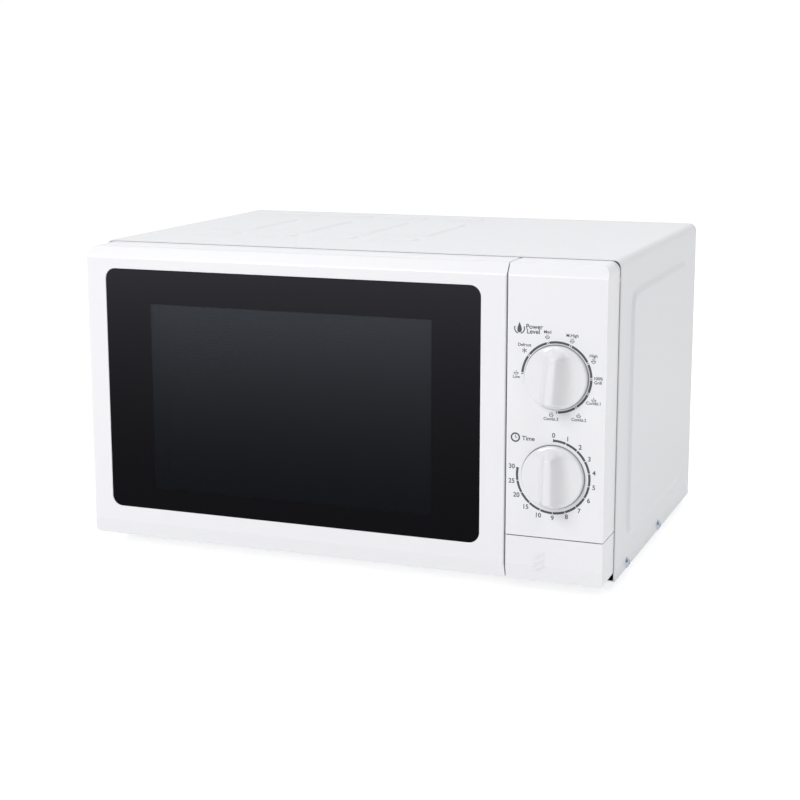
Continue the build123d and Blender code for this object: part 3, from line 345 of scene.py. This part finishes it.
tray_glass = clear_glass("glass_pressed", "#E9F3EF", 0.04)
bulb_glass = clear_glass("glass_bulb", "#F6F5EC", 0.02)
clear_film = clear_film_sheet("polyester_film", "#F2F4F4", 0.12)
print("clear", tray_glass.name, bulb_glass.name, clear_film.name)

# %% [markdown]
# ## Door glass
# The door glass is one toughened pane. A black enamel is printed on its back, with a rectangle left
# thin in the middle, through which the screen shows dimly. The print and the dim window are mixed by a
# mask worked out from the pane's own box, with an edge half a millimetre soft.
#
# Two values are choices for the look and not properties of glass. The specular level is far below
# that of glass, so that the bright room doesn't wash out the print. The tone gets lighter towards the
# top: this is a painted reflection of the light from above, laid in along Z, so it stays the same
# however the oven is lit or turned.
# %% Door glass
pane_low, pane_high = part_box("door_glass")
window_margin = dict(left=40.9 * MM, right=39.8 * MM, low=18.5 * MM, high=28.5 * MM)
window_low = Vector((pane_low.x + window_margin["left"], 0, pane_low.z + window_margin["low"]))
window_high = Vector((pane_high.x - window_margin["right"], 0, pane_high.z - window_margin["high"]))
print("dim window", window_low, window_high)


def box_mask(tree, low, high, soft):
    """1 inside the rectangle in X and Z, 0 outside, soft at the edge."""
    place = add_node(tree, "ShaderNodeTexCoord")
    axes = add_node(tree, "ShaderNodeSeparateXYZ", links={"Vector": place.outputs["Object"]})
    reaches = []
    for axis, a, b in (("X", low.x, high.x), ("Z", low.z, high.z)):
        off = add_node(tree, "ShaderNodeMath", operation="SUBTRACT", values={1: (a + b) / 2},
                       links={0: axes.outputs[axis]})
        size = add_node(tree, "ShaderNodeMath", operation="ABSOLUTE", links={0: off.outputs["Value"]})
        reaches.append(add_node(tree, "ShaderNodeMath", operation="SUBTRACT", values={1: (b - a) / 2},
                                links={0: size.outputs["Value"]}))
    furthest = add_node(tree, "ShaderNodeMath", operation="MAXIMUM",
                        links={0: reaches[0].outputs["Value"], 1: reaches[1].outputs["Value"]})
    mask = spread(tree, furthest.outputs["Value"], 1.0, 0.0, start=-soft, end=soft)
    return mask.outputs["Result"], axes


def printed_pane(name):
    gloss, specular, film_share = 0.06, 0.05, 0.35
    material, tree, shader = new_material(name, IOR=1.5, Roughness=gloss, Specular_IOR_Level=specular)
    relief(tree, shader, grain(tree, 40.0, detail=1.0).outputs["Fac"], 0.01)
    mask, axes = box_mask(tree, window_low, window_high, 0.5 * MM)
    # Painted reflection: print, see-through tint and film all grow lighter towards the top of the pane,
    # standing in for the light from above mirrored in the glass.
    level = spread(tree, axes.outputs["Z"], 0.0, 1.0, start=pane_low.z, end=pane_high.z)
    painted_top_light = add_node(tree, "ShaderNodeMath", operation="POWER", values={1: 2.0},
                    links={0: level.outputs["Result"]})
    ink = blend_colours(tree, painted_top_light.outputs["Value"], "#050508", "#242429")
    tree.links.new(ink, shader.inputs["Base Color"])
    through = blend_colours(tree, painted_top_light.outputs["Value"], "#8C8F95", "#C9CCD2")
    film = blend_colours(tree, painted_top_light.outputs["Value"], "#1E2025", "#5A5E65")
    dim = add_node(tree, "ShaderNodeBsdfTransparent", links={"Color": through})
    sheen = add_node(tree, "ShaderNodeBsdfPrincipled",
                     values={"Roughness": gloss, "Specular IOR Level": specular},
                     links={"Base Color": film})
    seen = add_node(tree, "ShaderNodeMixShader", values={0: film_share},
                    links={1: dim.outputs["BSDF"], 2: sheen.outputs["BSDF"]})
    mix = add_node(tree, "ShaderNodeMixShader",
                   links={0: mask, 1: shader.outputs["BSDF"], 2: seen.outputs["Shader"]})
    tree.links.new(mix.outputs["Shader"], tree.nodes["Material Output"].inputs["Surface"])
    return material


door_glass_finish = printed_pane("glass_toughened_printed")
print(door_glass_finish.name)

# %% [markdown]
# Each CAD node takes the finish of its material slot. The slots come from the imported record, so a
# node that is added later still gets its finish.
# %% Finishes of the CAD nodes
finish_of = {
    "cover_enamel": cover_coat, "white_abs": white_abs, "tinted_glass": door_glass_finish,
    "cavity_enamel": cavity_enamel, "galvanised_steel": galvanised, "zinc_steel": bright_zinc,
    "black_steel": black_enamel, "black_rubber": black_rubber, "black_nylon": black_nylon,
    "white_nylon": white_nylon, "grey_abs": grey_abs, "heater_steel": heater_steel, "mica": mica_sheet,
    "aluminium_fins": aluminium, "aluminium_can": aluminium, "iron_core": iron_core,
    "copper_winding": copper_wire, "circuit_board": circuit_board, "lamp_glass": bulb_glass,
    "clear_film": clear_film, "clear_glass": tray_glass, "spring_steel": spring_steel,
}
slot_of = {part["node"]: part["material_slot"] for part in frame["record"]["subparts"]}
for node_name, ob in frame["nodes"].items():
    ob.data.materials.clear()
    ob.data.materials.append(finish_of[slot_of[node_name]])
print("finished nodes", len(slot_of))

# %% [markdown]
# ## The pressed cover
# The cover is one sheet folded over the top and both sides. Pads pressed out of the sheet stiffen it:
# twelve on top and a large one on each side. It could be cut from boxes, but a press leaves no sharp
# edge, so the height of the sheet follows a smooth step across each pad's wall.
# %% Cover: the grid and its pads
cover_low, cover_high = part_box("cabinet_cover")
sheet = 0.8 * MM
fold = 6.0 * MM
side_raise, side_slope, side_corner = 2.0 * MM, 5.5 * MM, 15.0 * MM
top_raise, top_slope, top_corner = 1.0 * MM, 3.0 * MM, 5.0 * MM
half_width = cover_high.x - side_raise
top_z = cover_high.z - top_raise
front_y, back_y, foot_z = cover_low.y - 0.6 * MM, cover_high.y, cover_low.z
first_column, column_pitch, pad_width = -156.5 * MM, 54.9 * MM, 45.0 * MM
top_columns = [first_column + column_pitch * i for i in range(4)]
top_rows = [(front_y + 76.5 * MM, 23 * MM), (front_y + 158 * MM, 102 * MM),
            (front_y + 254 * MM, 22 * MM)]
side_pad = (front_y + 35 * MM, front_y + 248 * MM, 32 * MM, 231 * MM)
print("pads on top", len(top_columns) * len(top_rows), "pads on the sides", 2)


def smooth_step(t):
    t = np.clip(t, 0.0, 1.0)
    return t * t * (3 - 2 * t)


def pad_height(u, v, u0, u1, v0, v1, corner, slope, rise):
    """Height of a pad with rounded corners: 0 outside, rise on its flat, smooth on its wall."""
    qu = np.abs(u - (u0 + u1) / 2) - (u1 - u0) / 2 + corner
    qv = np.abs(v - (v0 + v1) / 2) - (v1 - v0) / 2 + corner
    outside = np.hypot(np.maximum(qu, 0), np.maximum(qv, 0)) + np.minimum(np.maximum(qu, qv), 0) - corner
    return rise * smooth_step(-outside / slope)


def dense_lines(start, end, edges, reach, fine, coarse):
    """Grid lines from start to end, fine within reach of an edge and coarse elsewhere."""
    lines = [start]
    while lines[-1] < end - 1e-7:
        here = lines[-1]
        near = any(edge - reach <= here + fine / 2 <= edge + reach for edge in edges)
        step = fine if near else coarse
        ahead = [edge - reach for edge in edges if here + fine / 2 < edge - reach < here + step]
        lines.append(min([here + step, end] + ahead))
    return np.array(lines)


# %% [markdown]
# The sheet is a grid. Its columns run round the girth: up one side, over the fold, across the top and
# down the other side. Its rows run from front to back, and the first four turn the front edge in as a
# lip. Lines are dense only where a pad's wall is. Solidify then gives the sheet its thickness.
# %% Cover: build the sheet
side_edges = [side_pad[2] + side_slope / 2, side_pad[3] - side_slope / 2]
side_lines = dense_lines(foot_z, top_z - fold, side_edges, 8 * MM, 1.2 * MM, 12 * MM)
x_edges = [x + side * (pad_width / 2 - top_slope / 2) for x in top_columns for side in (-1, 1)]
top_lines = dense_lines(-half_width + fold, half_width - fold, sorted(x_edges),
                        3 * MM, 0.8 * MM, 12 * MM)
y_edges = [y + side * (length / 2 - top_slope / 2) for y, length in top_rows for side in (-1, 1)]
y_edges += [side_pad[0] + side_slope / 2, side_pad[1] - side_slope / 2]
y_lines = dense_lines(front_y + 1.6 * MM, back_y, sorted(y_edges), 6 * MM, 1.0 * MM, 12 * MM)
lip = [(0.0, 1.0), (0.15, 0.5), (0.5, 0.15), (1.0, 0.0)]



def fold_arc(fold_x, start_angle):
    """Points and outward directions round a fold, clockwise from start_angle, without its ends."""
    arc = []
    for k in range(1, 8):
        a = start_angle - k * math.pi / 16
        nx, nz = math.cos(a), math.sin(a)
        arc.append((fold_x + fold * nx, top_z - fold + fold * nz, nx, nz))
    return arc


girth = [(-half_width, z, -1, 0) for z in side_lines]
girth += fold_arc(-half_width + fold, math.pi)
girth += [(x, top_z, 0, 1) for x in top_lines]
girth += fold_arc(half_width - fold, math.pi / 2)
girth += [(half_width, z, 1, 0) for z in side_lines[::-1]]

stations = [(front_y + a * MM, b * MM) for a, b in lip] + [(y, 0.0) for y in y_lines]
points = []
for y, inward in stations:
    for x, z, nx, nz in girth:
        rise = -inward
        if nz == 1:
            rise += sum(
                float(pad_height(x, y, cx - pad_width / 2, cx + pad_width / 2,
                                 cy - length / 2, cy + length / 2, top_corner, top_slope, top_raise))
                for cx in top_columns for cy, length in top_rows
                if abs(x - cx) < pad_width and abs(y - cy) < length)
        elif nz == 0:
            rise += float(pad_height(y, z, *side_pad, side_corner, side_slope, side_raise))
        points.append((x + nx * rise, y, z + nz * rise))
cover = mesh_object("cover_sheet", points, grid_faces(len(stations), len(girth)))
thick = cover.modifiers.new("sheet", "SOLIDIFY")
thick.thickness, thick.offset = sheet, -1.0
shade(cover, 50)
dress(cover, "chassis", cover_coat, ["cabinet_cover"])

# %% [markdown]
# ## The dials
# Each dial is a low disc with a grip across it. The grip's flanks are scooped, steep at its crest and
# fading into the disc, and its top end narrows a little to show the setting. That is a height
# over a circle, so the dial is a polar grid: rings of points whose height is the disc's crown plus
# the grip, with the rim rounded over and a wall that runs down into the panel's recess.
# %% Dials
crown_rise = 1.0 * MM
grip_half_mm, grip_narrowing_mm, grip_steepness = 6.6, 1.8, 3.4
dial_rings, dial_segments = 84, 288
dial_rim, rim_rounding = 3.6 * MM, 1.4 * MM


def dial_height(u, v, radius, rim, rise):
    """Height over the face at u across and v up the dial."""
    crown = rim + crown_rise * (1 - (u * u + v * v) / radius**2)
    reach = np.clip((v + radius) / (2 * radius), 0, 1)
    half = (grip_half_mm - grip_narrowing_mm * reach**3) * MM
    across = 1 / (1 + (np.abs(u) / half) ** grip_steepness)
    top_end = smooth_step((radius - 1.0 * MM - v) / (8.0 * MM))
    low_end = smooth_step((v + radius - 1.0 * MM) / (5.0 * MM))
    return crown + (rise - rim - crown_rise) * across * top_end * low_end


def dial(name, node_name, body, angle_degrees):
    low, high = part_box(node_name)
    centre = (low + high) / 2
    radius = (high.x - low.x) / 2
    face_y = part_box("control_panel")[0].y
    rise = face_y - low.y
    rings, segments = dial_rings, dial_segments
    turn = math.radians(angle_degrees)
    rows = []
    for k in range(1, rings + 1):
        r = radius * (k / rings) ** 0.9
        row = []
        for s in range(segments):
            a = 2 * math.pi * s / segments
            u, v = r * math.cos(a), r * math.sin(a)
            h = float(dial_height(u, v, radius, dial_rim, rise))
            over = max(0.0, r - (radius - rim_rounding)) / rim_rounding
            h -= rim_rounding * (1 - math.sqrt(max(0.0, 1 - over**2)))
            x = u * math.cos(turn) + v * math.sin(turn)
            z = -u * math.sin(turn) + v * math.cos(turn)
            row.append((centre.x + x, face_y - h, centre.z + z))
        rows.append(row)
    for depth in (0.0, high.y - face_y):
        rows.append([(x, face_y + depth, z) for x, _, z in rows[rings - 1]])
    points = [p for row in rows for p in row]
    hub_h = float(dial_height(0.0, 0.0, radius, dial_rim, rise))
    points.append((centre.x, face_y - hub_h, centre.z))
    points.append((centre.x, high.y, centre.z))
    hub, back = len(points) - 2, len(points) - 1
    faces = grid_faces(len(rows), segments, wrap=True)
    last = (len(rows) - 1) * segments
    for s in range(segments):
        t = (s + 1) % segments
        faces.append((s, hub, t))
        faces.append((last + s, last + t, back))
    ob = mesh_object(name, points, faces)
    shade(ob, 60)
    return dress(ob, body, dial_abs, [node_name])


dial("power_dial_cap", "power_knob", "power_dial", 5.0)
dial("timer_dial_cap", "timer_knob", "timer_dial", 0.0)

# %% [markdown]
# ## The printed scales
# The scales are screen-printed in slate grey ink, a few hundredths of a millimetre thick. Each scale
# is an arc with a gap and a tick at each setting, with numbers or plain words beside it. All of it is
# flat geometry laid just over the panel's face and joined into one piece.
# %% Ink
ink_finish, ink_tree, ink_shader = new_material("screen_print_slate", IOR=1.5)
finish_with_grain(ink_finish, ink_tree, ink_shader, 0.5, ("#474C50", "#3D4246"), (0.45, 0.6), 0.004)
print_points, print_faces = [], []
panel_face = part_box("control_panel")[0].y
ink_y = panel_face - 0.05 * MM
print("ink stands at y", ink_y)


def add_print(flat_points, faces):
    """Adds flat shapes, given in X and Z, to the print."""
    start = len(print_points)
    print_points.extend((x, ink_y, z) for x, z in flat_points)
    print_faces.extend(tuple(start + i for i in face) for face in faces)


def print_band(cx, cz, radius, start, end, width):
    """A curved band from start to end, in degrees clockwise from upright."""
    steps = max(2, int(abs(end - start) / 2.0) + 1)
    flat = []
    for k in range(steps + 1):
        a = math.radians(start + (end - start) * k / steps)
        for r in (radius - width / 2, radius + width / 2):
            flat.append((cx + r * math.sin(a), cz + r * math.cos(a)))
    add_print(flat, [(2 * k, 2 * k + 1, 2 * k + 3, 2 * k + 2) for k in range(steps)])


def print_line(x0, z0, x1, z1, width):
    along = Vector((x1 - x0, z1 - z0)).normalized()
    across = Vector((-along.y, along.x)) * width / 2
    add_print([(x0 - across.x, z0 - across.y), (x1 - across.x, z1 - across.y),
               (x1 + across.x, z1 + across.y), (x0 + across.x, z0 + across.y)], [(0, 1, 2, 3)])


def print_text(text, x, z, size, align="CENTER"):
    """Plain lettering, centred in height on z."""
    curve = bpy.data.curves.new("lettering", "FONT")
    curve.body, curve.size, curve.align_x, curve.align_y = text, size, align, "CENTER"
    curve.offset = size * 0.018
    ob = bpy.data.objects.new("lettering", curve)
    bpy.context.scene.collection.objects.link(ob)
    bpy.context.view_layer.update()
    flat = bpy.data.meshes.new_from_object(ob.evaluated_get(bpy.context.evaluated_depsgraph_get()))
    add_print([(x + v.co.x, z + v.co.y) for v in flat.vertices],
              [tuple(p.vertices) for p in flat.polygons])
    bpy.data.objects.remove(ob)
    bpy.data.meshes.remove(flat)


# %% [markdown]
# The power dial has nine settings. Each has a tick on the arc, a word outside it and a small dish whose
# wisps of steam count its strength. Words and dishes are placed by their angle clockwise from upright
# and their distance from the dial's axis in millimetres.
# %% Scale of the power dial
power_low, power_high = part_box("power_knob")
power_x, power_z = (power_low.x + power_high.x) / 2, (power_low.z + power_high.z) / 2
power_settings = [
    ("Low", -87), ("Defrost", -54), ("Med", -15), ("M.High", 23), ("High", 63), ("Grill", 89),
    ("Combi.1", 114), ("Combi.2", 145), ("Combi.3", 179),
]
power_arc, arc_width = 26.4 * MM, 1.75 * MM
tick_gap, tick_half = 2.1, 0.7
for (_, a), (_, b) in zip(power_settings, power_settings[1:]):
    print_band(power_x, power_z, power_arc, a + tick_gap, b - tick_gap, arc_width)
for _, a in power_settings:
    print_band(power_x, power_z, power_arc, a - tick_half, a + tick_half, arc_width)


def print_dish(cx, cz, size, level):
    """A bowl with one to three wisps of steam over it."""
    print_band(cx, cz, size, 95, 265, size * 0.32)
    print_line(cx - size * 1.3, cz, cx + size * 1.3, cz, size * 0.3)
    for k in range(level):
        x = cx + (k - (level - 1) / 2) * size * 0.6
        print_line(x, cz + size * 0.4, x, cz + size * 1.25, size * 0.26)


def print_flake(cx, cz, size):
    for k in range(3):
        a = math.pi * k / 3
        print_line(cx - size * math.sin(a), cz - size * math.cos(a),
                   cx + size * math.sin(a), cz + size * math.cos(a), size * 0.22)
    for k in range(6):
        a = math.pi * k / 3
        x, z = cx + size * 0.62 * math.sin(a), cz + size * 0.62 * math.cos(a)
        for side in (-0.5, 0.5):
            print_line(x, z, x + size * 0.4 * math.sin(a + side),
                       z + size * 0.4 * math.cos(a + side), size * 0.14)


def at(angle, radius):
    a = math.radians(angle)
    return power_x + radius * MM * math.sin(a), power_z + radius * MM * math.cos(a)


label_size = 3.3 * MM
places = {
    "Low": (-92.5, 30.9), "Defrost": (-47.1, 34.0), "Med": (-12.2, 34.5), "M.High": (19.9, 34.0),
    "High": (57.4, 32.9), "100%": (88.2, 31.5), "Grill": (93.9, 31.5), "Combi.1": (121.9, 33.6),
    "Combi.2": (150.5, 35.6), "Combi.3": (186.8, 32.0),
}
for word, (angle, radius) in places.items():
    print_text(word, *at(angle, radius), label_size)
dishes = [(-86.6, 31.2, 1), (-13.8, 31.0, 2), (22.2, 30.3, 3), (63.6, 31.0, 3), (117.8, 32.2, 1),
          (148.1, 32.7, 2), (187.2, 28.8, 3)]
for angle, radius, level in dishes:
    print_dish(*at(angle, radius), 1.45 * MM, level)
print_flake(*at(-52.7, 31.3), 1.8 * MM)
print("settings", len(power_settings), "print faces so far", len(print_faces))

# %% [markdown]
# Over the power dial stands a flame, and beside the timer a clock face, each with a plain word.
# %% Flame, clock and the timer's numbers
flame_x, flame_z = power_x - 28.9 * MM, power_z + 36.0 * MM


def print_flame(cx, cz, size):
    """A drop with a pointed tip, held between two curved strokes."""
    outline = []
    for k in range(32):
        t = 2 * math.pi * k / 32
        taper = math.sin(t / 2) ** 1.6
        outline.append((cx + size * 0.62 * math.sin(t) * taper, cz + size * (math.cos(t) + 0.1)))
    add_print(outline, [tuple(range(32))[::-1]])
    for side in (-1, 1):
        print_band(cx, cz - size * 0.15, size * 0.92, side * 65, side * 165, size * 0.2)


print_flame(flame_x, flame_z, 4.1 * MM)
print_text("Power", flame_x + 4.9 * MM, flame_z + 1.0 * MM, 4.9 * MM, "LEFT")
print_text("Level", flame_x + 5.5 * MM, flame_z - 2.6 * MM, 4.9 * MM, "LEFT")

timer_low, timer_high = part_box("timer_knob")
timer_x, timer_z = (timer_low.x + timer_high.x) / 2, (timer_low.z + timer_high.z) / 2
timer_arc = 28.0 * MM
minutes = [(str(i), 20 * i) for i in range(11)] + [("15", 220), ("20", 240), ("25", 260), ("30", 280)]
for (_, a), (_, b) in zip(minutes, minutes[1:]):
    print_band(timer_x, timer_z, timer_arc, a + 0.55, b - 0.55, arc_width)
for _, a in (minutes[0], minutes[-1]):
    print_band(timer_x, timer_z, timer_arc, a - 0.8, a + 0.8, arc_width * 1.3)
for number, degrees in minutes:
    r = 31.9 * MM if len(number) == 1 else 32.7 * MM
    a = math.radians(degrees)
    print_text(number, timer_x + r * math.sin(a), timer_z + r * math.cos(a), 5.0 * MM)
clock_x, clock_z = timer_x - 29.6 * MM, timer_z + 28.4 * MM
print_band(clock_x, clock_z, 3.1 * MM, 0, 360, 1.15 * MM)
print_line(clock_x, clock_z, clock_x, clock_z + 2.0 * MM, 0.5 * MM)
print_line(clock_x, clock_z, clock_x + 1.5 * MM, clock_z, 0.5 * MM)
print_text("Time", clock_x + 5.2 * MM, clock_z - 0.4 * MM, 4.8 * MM, "LEFT")
dial_print = mesh_object("dial_print", print_points, print_faces)
dress(dial_print, "chassis", ink_finish)

# %% [markdown]
# ## The perforated screen
# The screen keeps microwaves in: a steel sheet with round holes far smaller than the wavelength, here
# 2.2 mm apart in staggered rows, over an area as large as the window in the print. A bump or an alpha
# pattern would do from afar, but real holes also show the cavity behind them at any angle. Each cell is
# a hexagon with a six-sided hole, so the whole sheet is quads. It has no thickness, which can't be seen.
# %% Screen
screen_low, screen_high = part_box("screen_mesh")
pitch, hole = 2.2 * MM, 0.72 * MM
across, up = pitch, pitch * math.sqrt(3) / 2
columns = int((window_high.x - window_low.x) / across)
rows = int((window_high.z - window_low.z) / up)
left = (window_low.x + window_high.x - (columns - 0.5) * across) / 2
bottom = (window_low.z + window_high.z - (rows - 1) * up) / 2
screen_y = screen_low.y
corner_angles = [math.radians(90 + 60 * k) for k in range(6)]
outer = np.array([(math.cos(a), math.sin(a)) for a in corner_angles]) * pitch / math.sqrt(3)
inner = np.array([(math.cos(a), math.sin(a)) for a in corner_angles]) * hole
cell_points = np.vstack([outer, inner])
points, faces = [], []
for r in range(rows):
    for c in range(columns):
        x = left + c * across + (r % 2) * across / 2
        z = bottom + r * up
        start = len(points)
        points.extend((x + u, screen_y, z + v) for u, v in cell_points)
        faces.extend((start + k, start + (k + 1) % 6, start + 6 + (k + 1) % 6, start + 6 + k)
                     for k in range(6))
rim_x0, rim_x1 = left - across / 2, left + (columns - 0.5) * across
border = [(screen_low.x, screen_low.z), (screen_high.x, screen_low.z),
          (screen_high.x, screen_high.z), (screen_low.x, screen_high.z)]
inset = [(rim_x0 + across / 2, bottom - up / 3), (rim_x1, bottom - up / 3),
         (rim_x1, bottom + (rows - 1) * up + up / 3),
         (rim_x0 + across / 2, bottom + (rows - 1) * up + up / 3)]
start = len(points)
points.extend((x, screen_y, z) for x, z in border)
points.extend((x, screen_y + 0.02 * MM, z) for x, z in inset)
faces.extend((start + k, start + (k + 1) % 4, start + 4 + (k + 1) % 4, start + 4 + k) for k in range(4))
screen = mesh_object("door_screen", points, faces)
dress(screen, "door", screen_paint, ["screen_mesh"])

# %% [markdown]
# ## Lip of the door opening
# The moulding turns over in a thin bright lip where it meets the glass. It is a round bead 0.9 mm
# thick along a rectangle with rounded corners, swept by hand: a ring of points at each station.
# %% Lip


def rounded_path(x0, x1, z0, z1, radius, steps=10):
    """Points and outward directions along a rectangle with rounded corners."""
    path = []
    for cx, cz, start in ((x1 - radius, z1 - radius, 0), (x0 + radius, z1 - radius, 90),
                          (x0 + radius, z0 + radius, 180), (x1 - radius, z0 + radius, 270)):
        for k in range(steps + 1):
            a = math.radians(start + 90 * k / steps)
            path.append((cx + radius * math.cos(a), cz + radius * math.sin(a), math.cos(a), math.sin(a)))
    return path


def bead(name, path, y, thickness, sides=10):
    points = []
    for x, z, nx, nz in path:
        for s in range(sides):
            a = 2 * math.pi * s / sides
            out = thickness / 2 * math.cos(a)
            points.append((x + nx * out, y + thickness / 2 * math.sin(a), z + nz * out))
    count = len(path)
    faces = [(i * sides + s, i * sides + (s + 1) % sides,
              (i + 1) % count * sides + (s + 1) % sides, (i + 1) % count * sides + s)
             for i in range(count) for s in range(sides)]
    ob = mesh_object(name, points, faces)
    shade(ob, 60)
    return ob


door_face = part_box("door_frame")[0].y
lip_path = rounded_path(pane_low.x - 0.2 * MM, pane_high.x + 0.2 * MM, pane_low.z - 0.2 * MM,
                        pane_high.z + 0.2 * MM, 9.2 * MM)
lip_bead = bead("door_opening_lip", lip_path, door_face + 0.45 * MM, 0.9 * MM)
dress(lip_bead, "door", white_abs)

# %% [markdown]
# ## Room, light and camera
# The oven stands on a white sweep, a sheet that curves up into a wall behind it, so that no horizon
# shows. The sweep glows, which keeps it white. It also lights the oven from below and behind, so a
# change to sweep_glow changes the oven's own brightness as well. The sweep rises behind the oven only,
# so a view from behind looks past its front edge into the dim room.
# %% Floor and room
sweep_glow, room_glow = 0.68, 0.3
floor_profile = [(-7.0, 0.0), (2.5, 0.0)]
for k in range(1, 13):
    a = math.pi / 2 * k / 12
    floor_profile.append((2.5 + math.sin(a), 1 - math.cos(a)))
floor_profile.append((3.5, 7.0))
sweep = mesh_object("floor_sweep", [(x, y, z) for y, z in floor_profile for x in (-9.0, 9.0)],
                    grid_faces(len(floor_profile), 2))
shade(sweep)
sweep_finish, sweep_tree, sweep_shader = new_material("table_paint_white", Specular_IOR_Level=0.0)
finish_with_grain(sweep_finish, sweep_tree, sweep_shader, 60.0,
                  ("#BEBEBE", "#BCBCBC"), (0.85, 0.95), 0.01)
sweep_shader.inputs["Emission Color"].default_value = (1.0, 1.0, 1.0, 1.0)
sweep_shader.inputs["Emission Strength"].default_value = sweep_glow
sweep.data.materials.append(sweep_finish)
world = bpy.data.worlds.new("studio")
bpy.context.scene.world = world
world.use_nodes = True
world.node_tree.nodes["Background"].inputs["Color"].default_value = (1.0, 1.0, 1.0, 1.0)
world.node_tree.nodes["Background"].inputs["Strength"].default_value = room_glow
bpy.context.scene.view_settings.view_transform = "Standard"
print("sweep points", len(sweep.data.vertices), "sweep glow", sweep_glow, "room glow", room_glow)

# %% [markdown]
# One large soft light from the upper left makes the front bright. A weaker one above lights the top,
# and one from the upper right lights the right side. Powers are in watts.
# %% Lights


def area_light(name, place, aim, size, power):
    lamp = bpy.data.lights.new(name, "AREA")
    lamp.shape, lamp.size, lamp.energy = "SQUARE", size, power
    ob = bpy.data.objects.new(name, lamp)
    bpy.context.scene.collection.objects.link(ob)
    ob.location = place
    ob.rotation_euler = (Vector(aim) - Vector(place)).to_track_quat("-Z", "Y").to_euler()
    return ob


middle = (cad_low + cad_high) / 2
area_light("key", (-1.1, -2.05, 1.95), middle, 1.3, 54)
area_light("top", (0.2, 0.0, 2.4), middle, 1.6, 12)
area_light("right_fill", (1.5, -0.9, 2.1), middle, 1.2, 11)
print("lights aimed at", middle)

# %% [markdown]
# The camera looks down a little from the front right. Its place follows from an aim point on the face
# of the oven, two angles and a distance, and a small roll turns the frame about the line of sight.
# %% Camera
azimuth, elevation, roll = math.radians(22.30), math.radians(10.84), math.radians(-0.3765)
distance, lens = 1.30695, 75.49
aim = Vector((17.4 * MM, door_face, 162.4 * MM))
forward = Vector((-math.sin(azimuth) * math.cos(elevation),
                  math.cos(azimuth) * math.cos(elevation), -math.sin(elevation)))
right = Vector((math.cos(azimuth), math.sin(azimuth), 0))
upward = right.cross(forward)
turned_right = right * math.cos(roll) + upward * math.sin(roll)
turned_up = upward * math.cos(roll) - right * math.sin(roll)
camera_data = bpy.data.cameras.new("camera")
camera_data.lens, camera_data.sensor_width = lens, 36.0
camera_data.shift_x, camera_data.shift_y = 0.06, -0.02875
camera = bpy.data.objects.new("camera", camera_data)
bpy.context.scene.collection.objects.link(camera)
place = aim - forward * distance
camera.matrix_world = Matrix((
    (turned_right.x, turned_up.x, -forward.x, place.x),
    (turned_right.y, turned_up.y, -forward.y, place.y),
    (turned_right.z, turned_up.z, -forward.z, place.z),
    (0, 0, 0, 1)))
bpy.context.scene.camera = camera
print("camera", place)
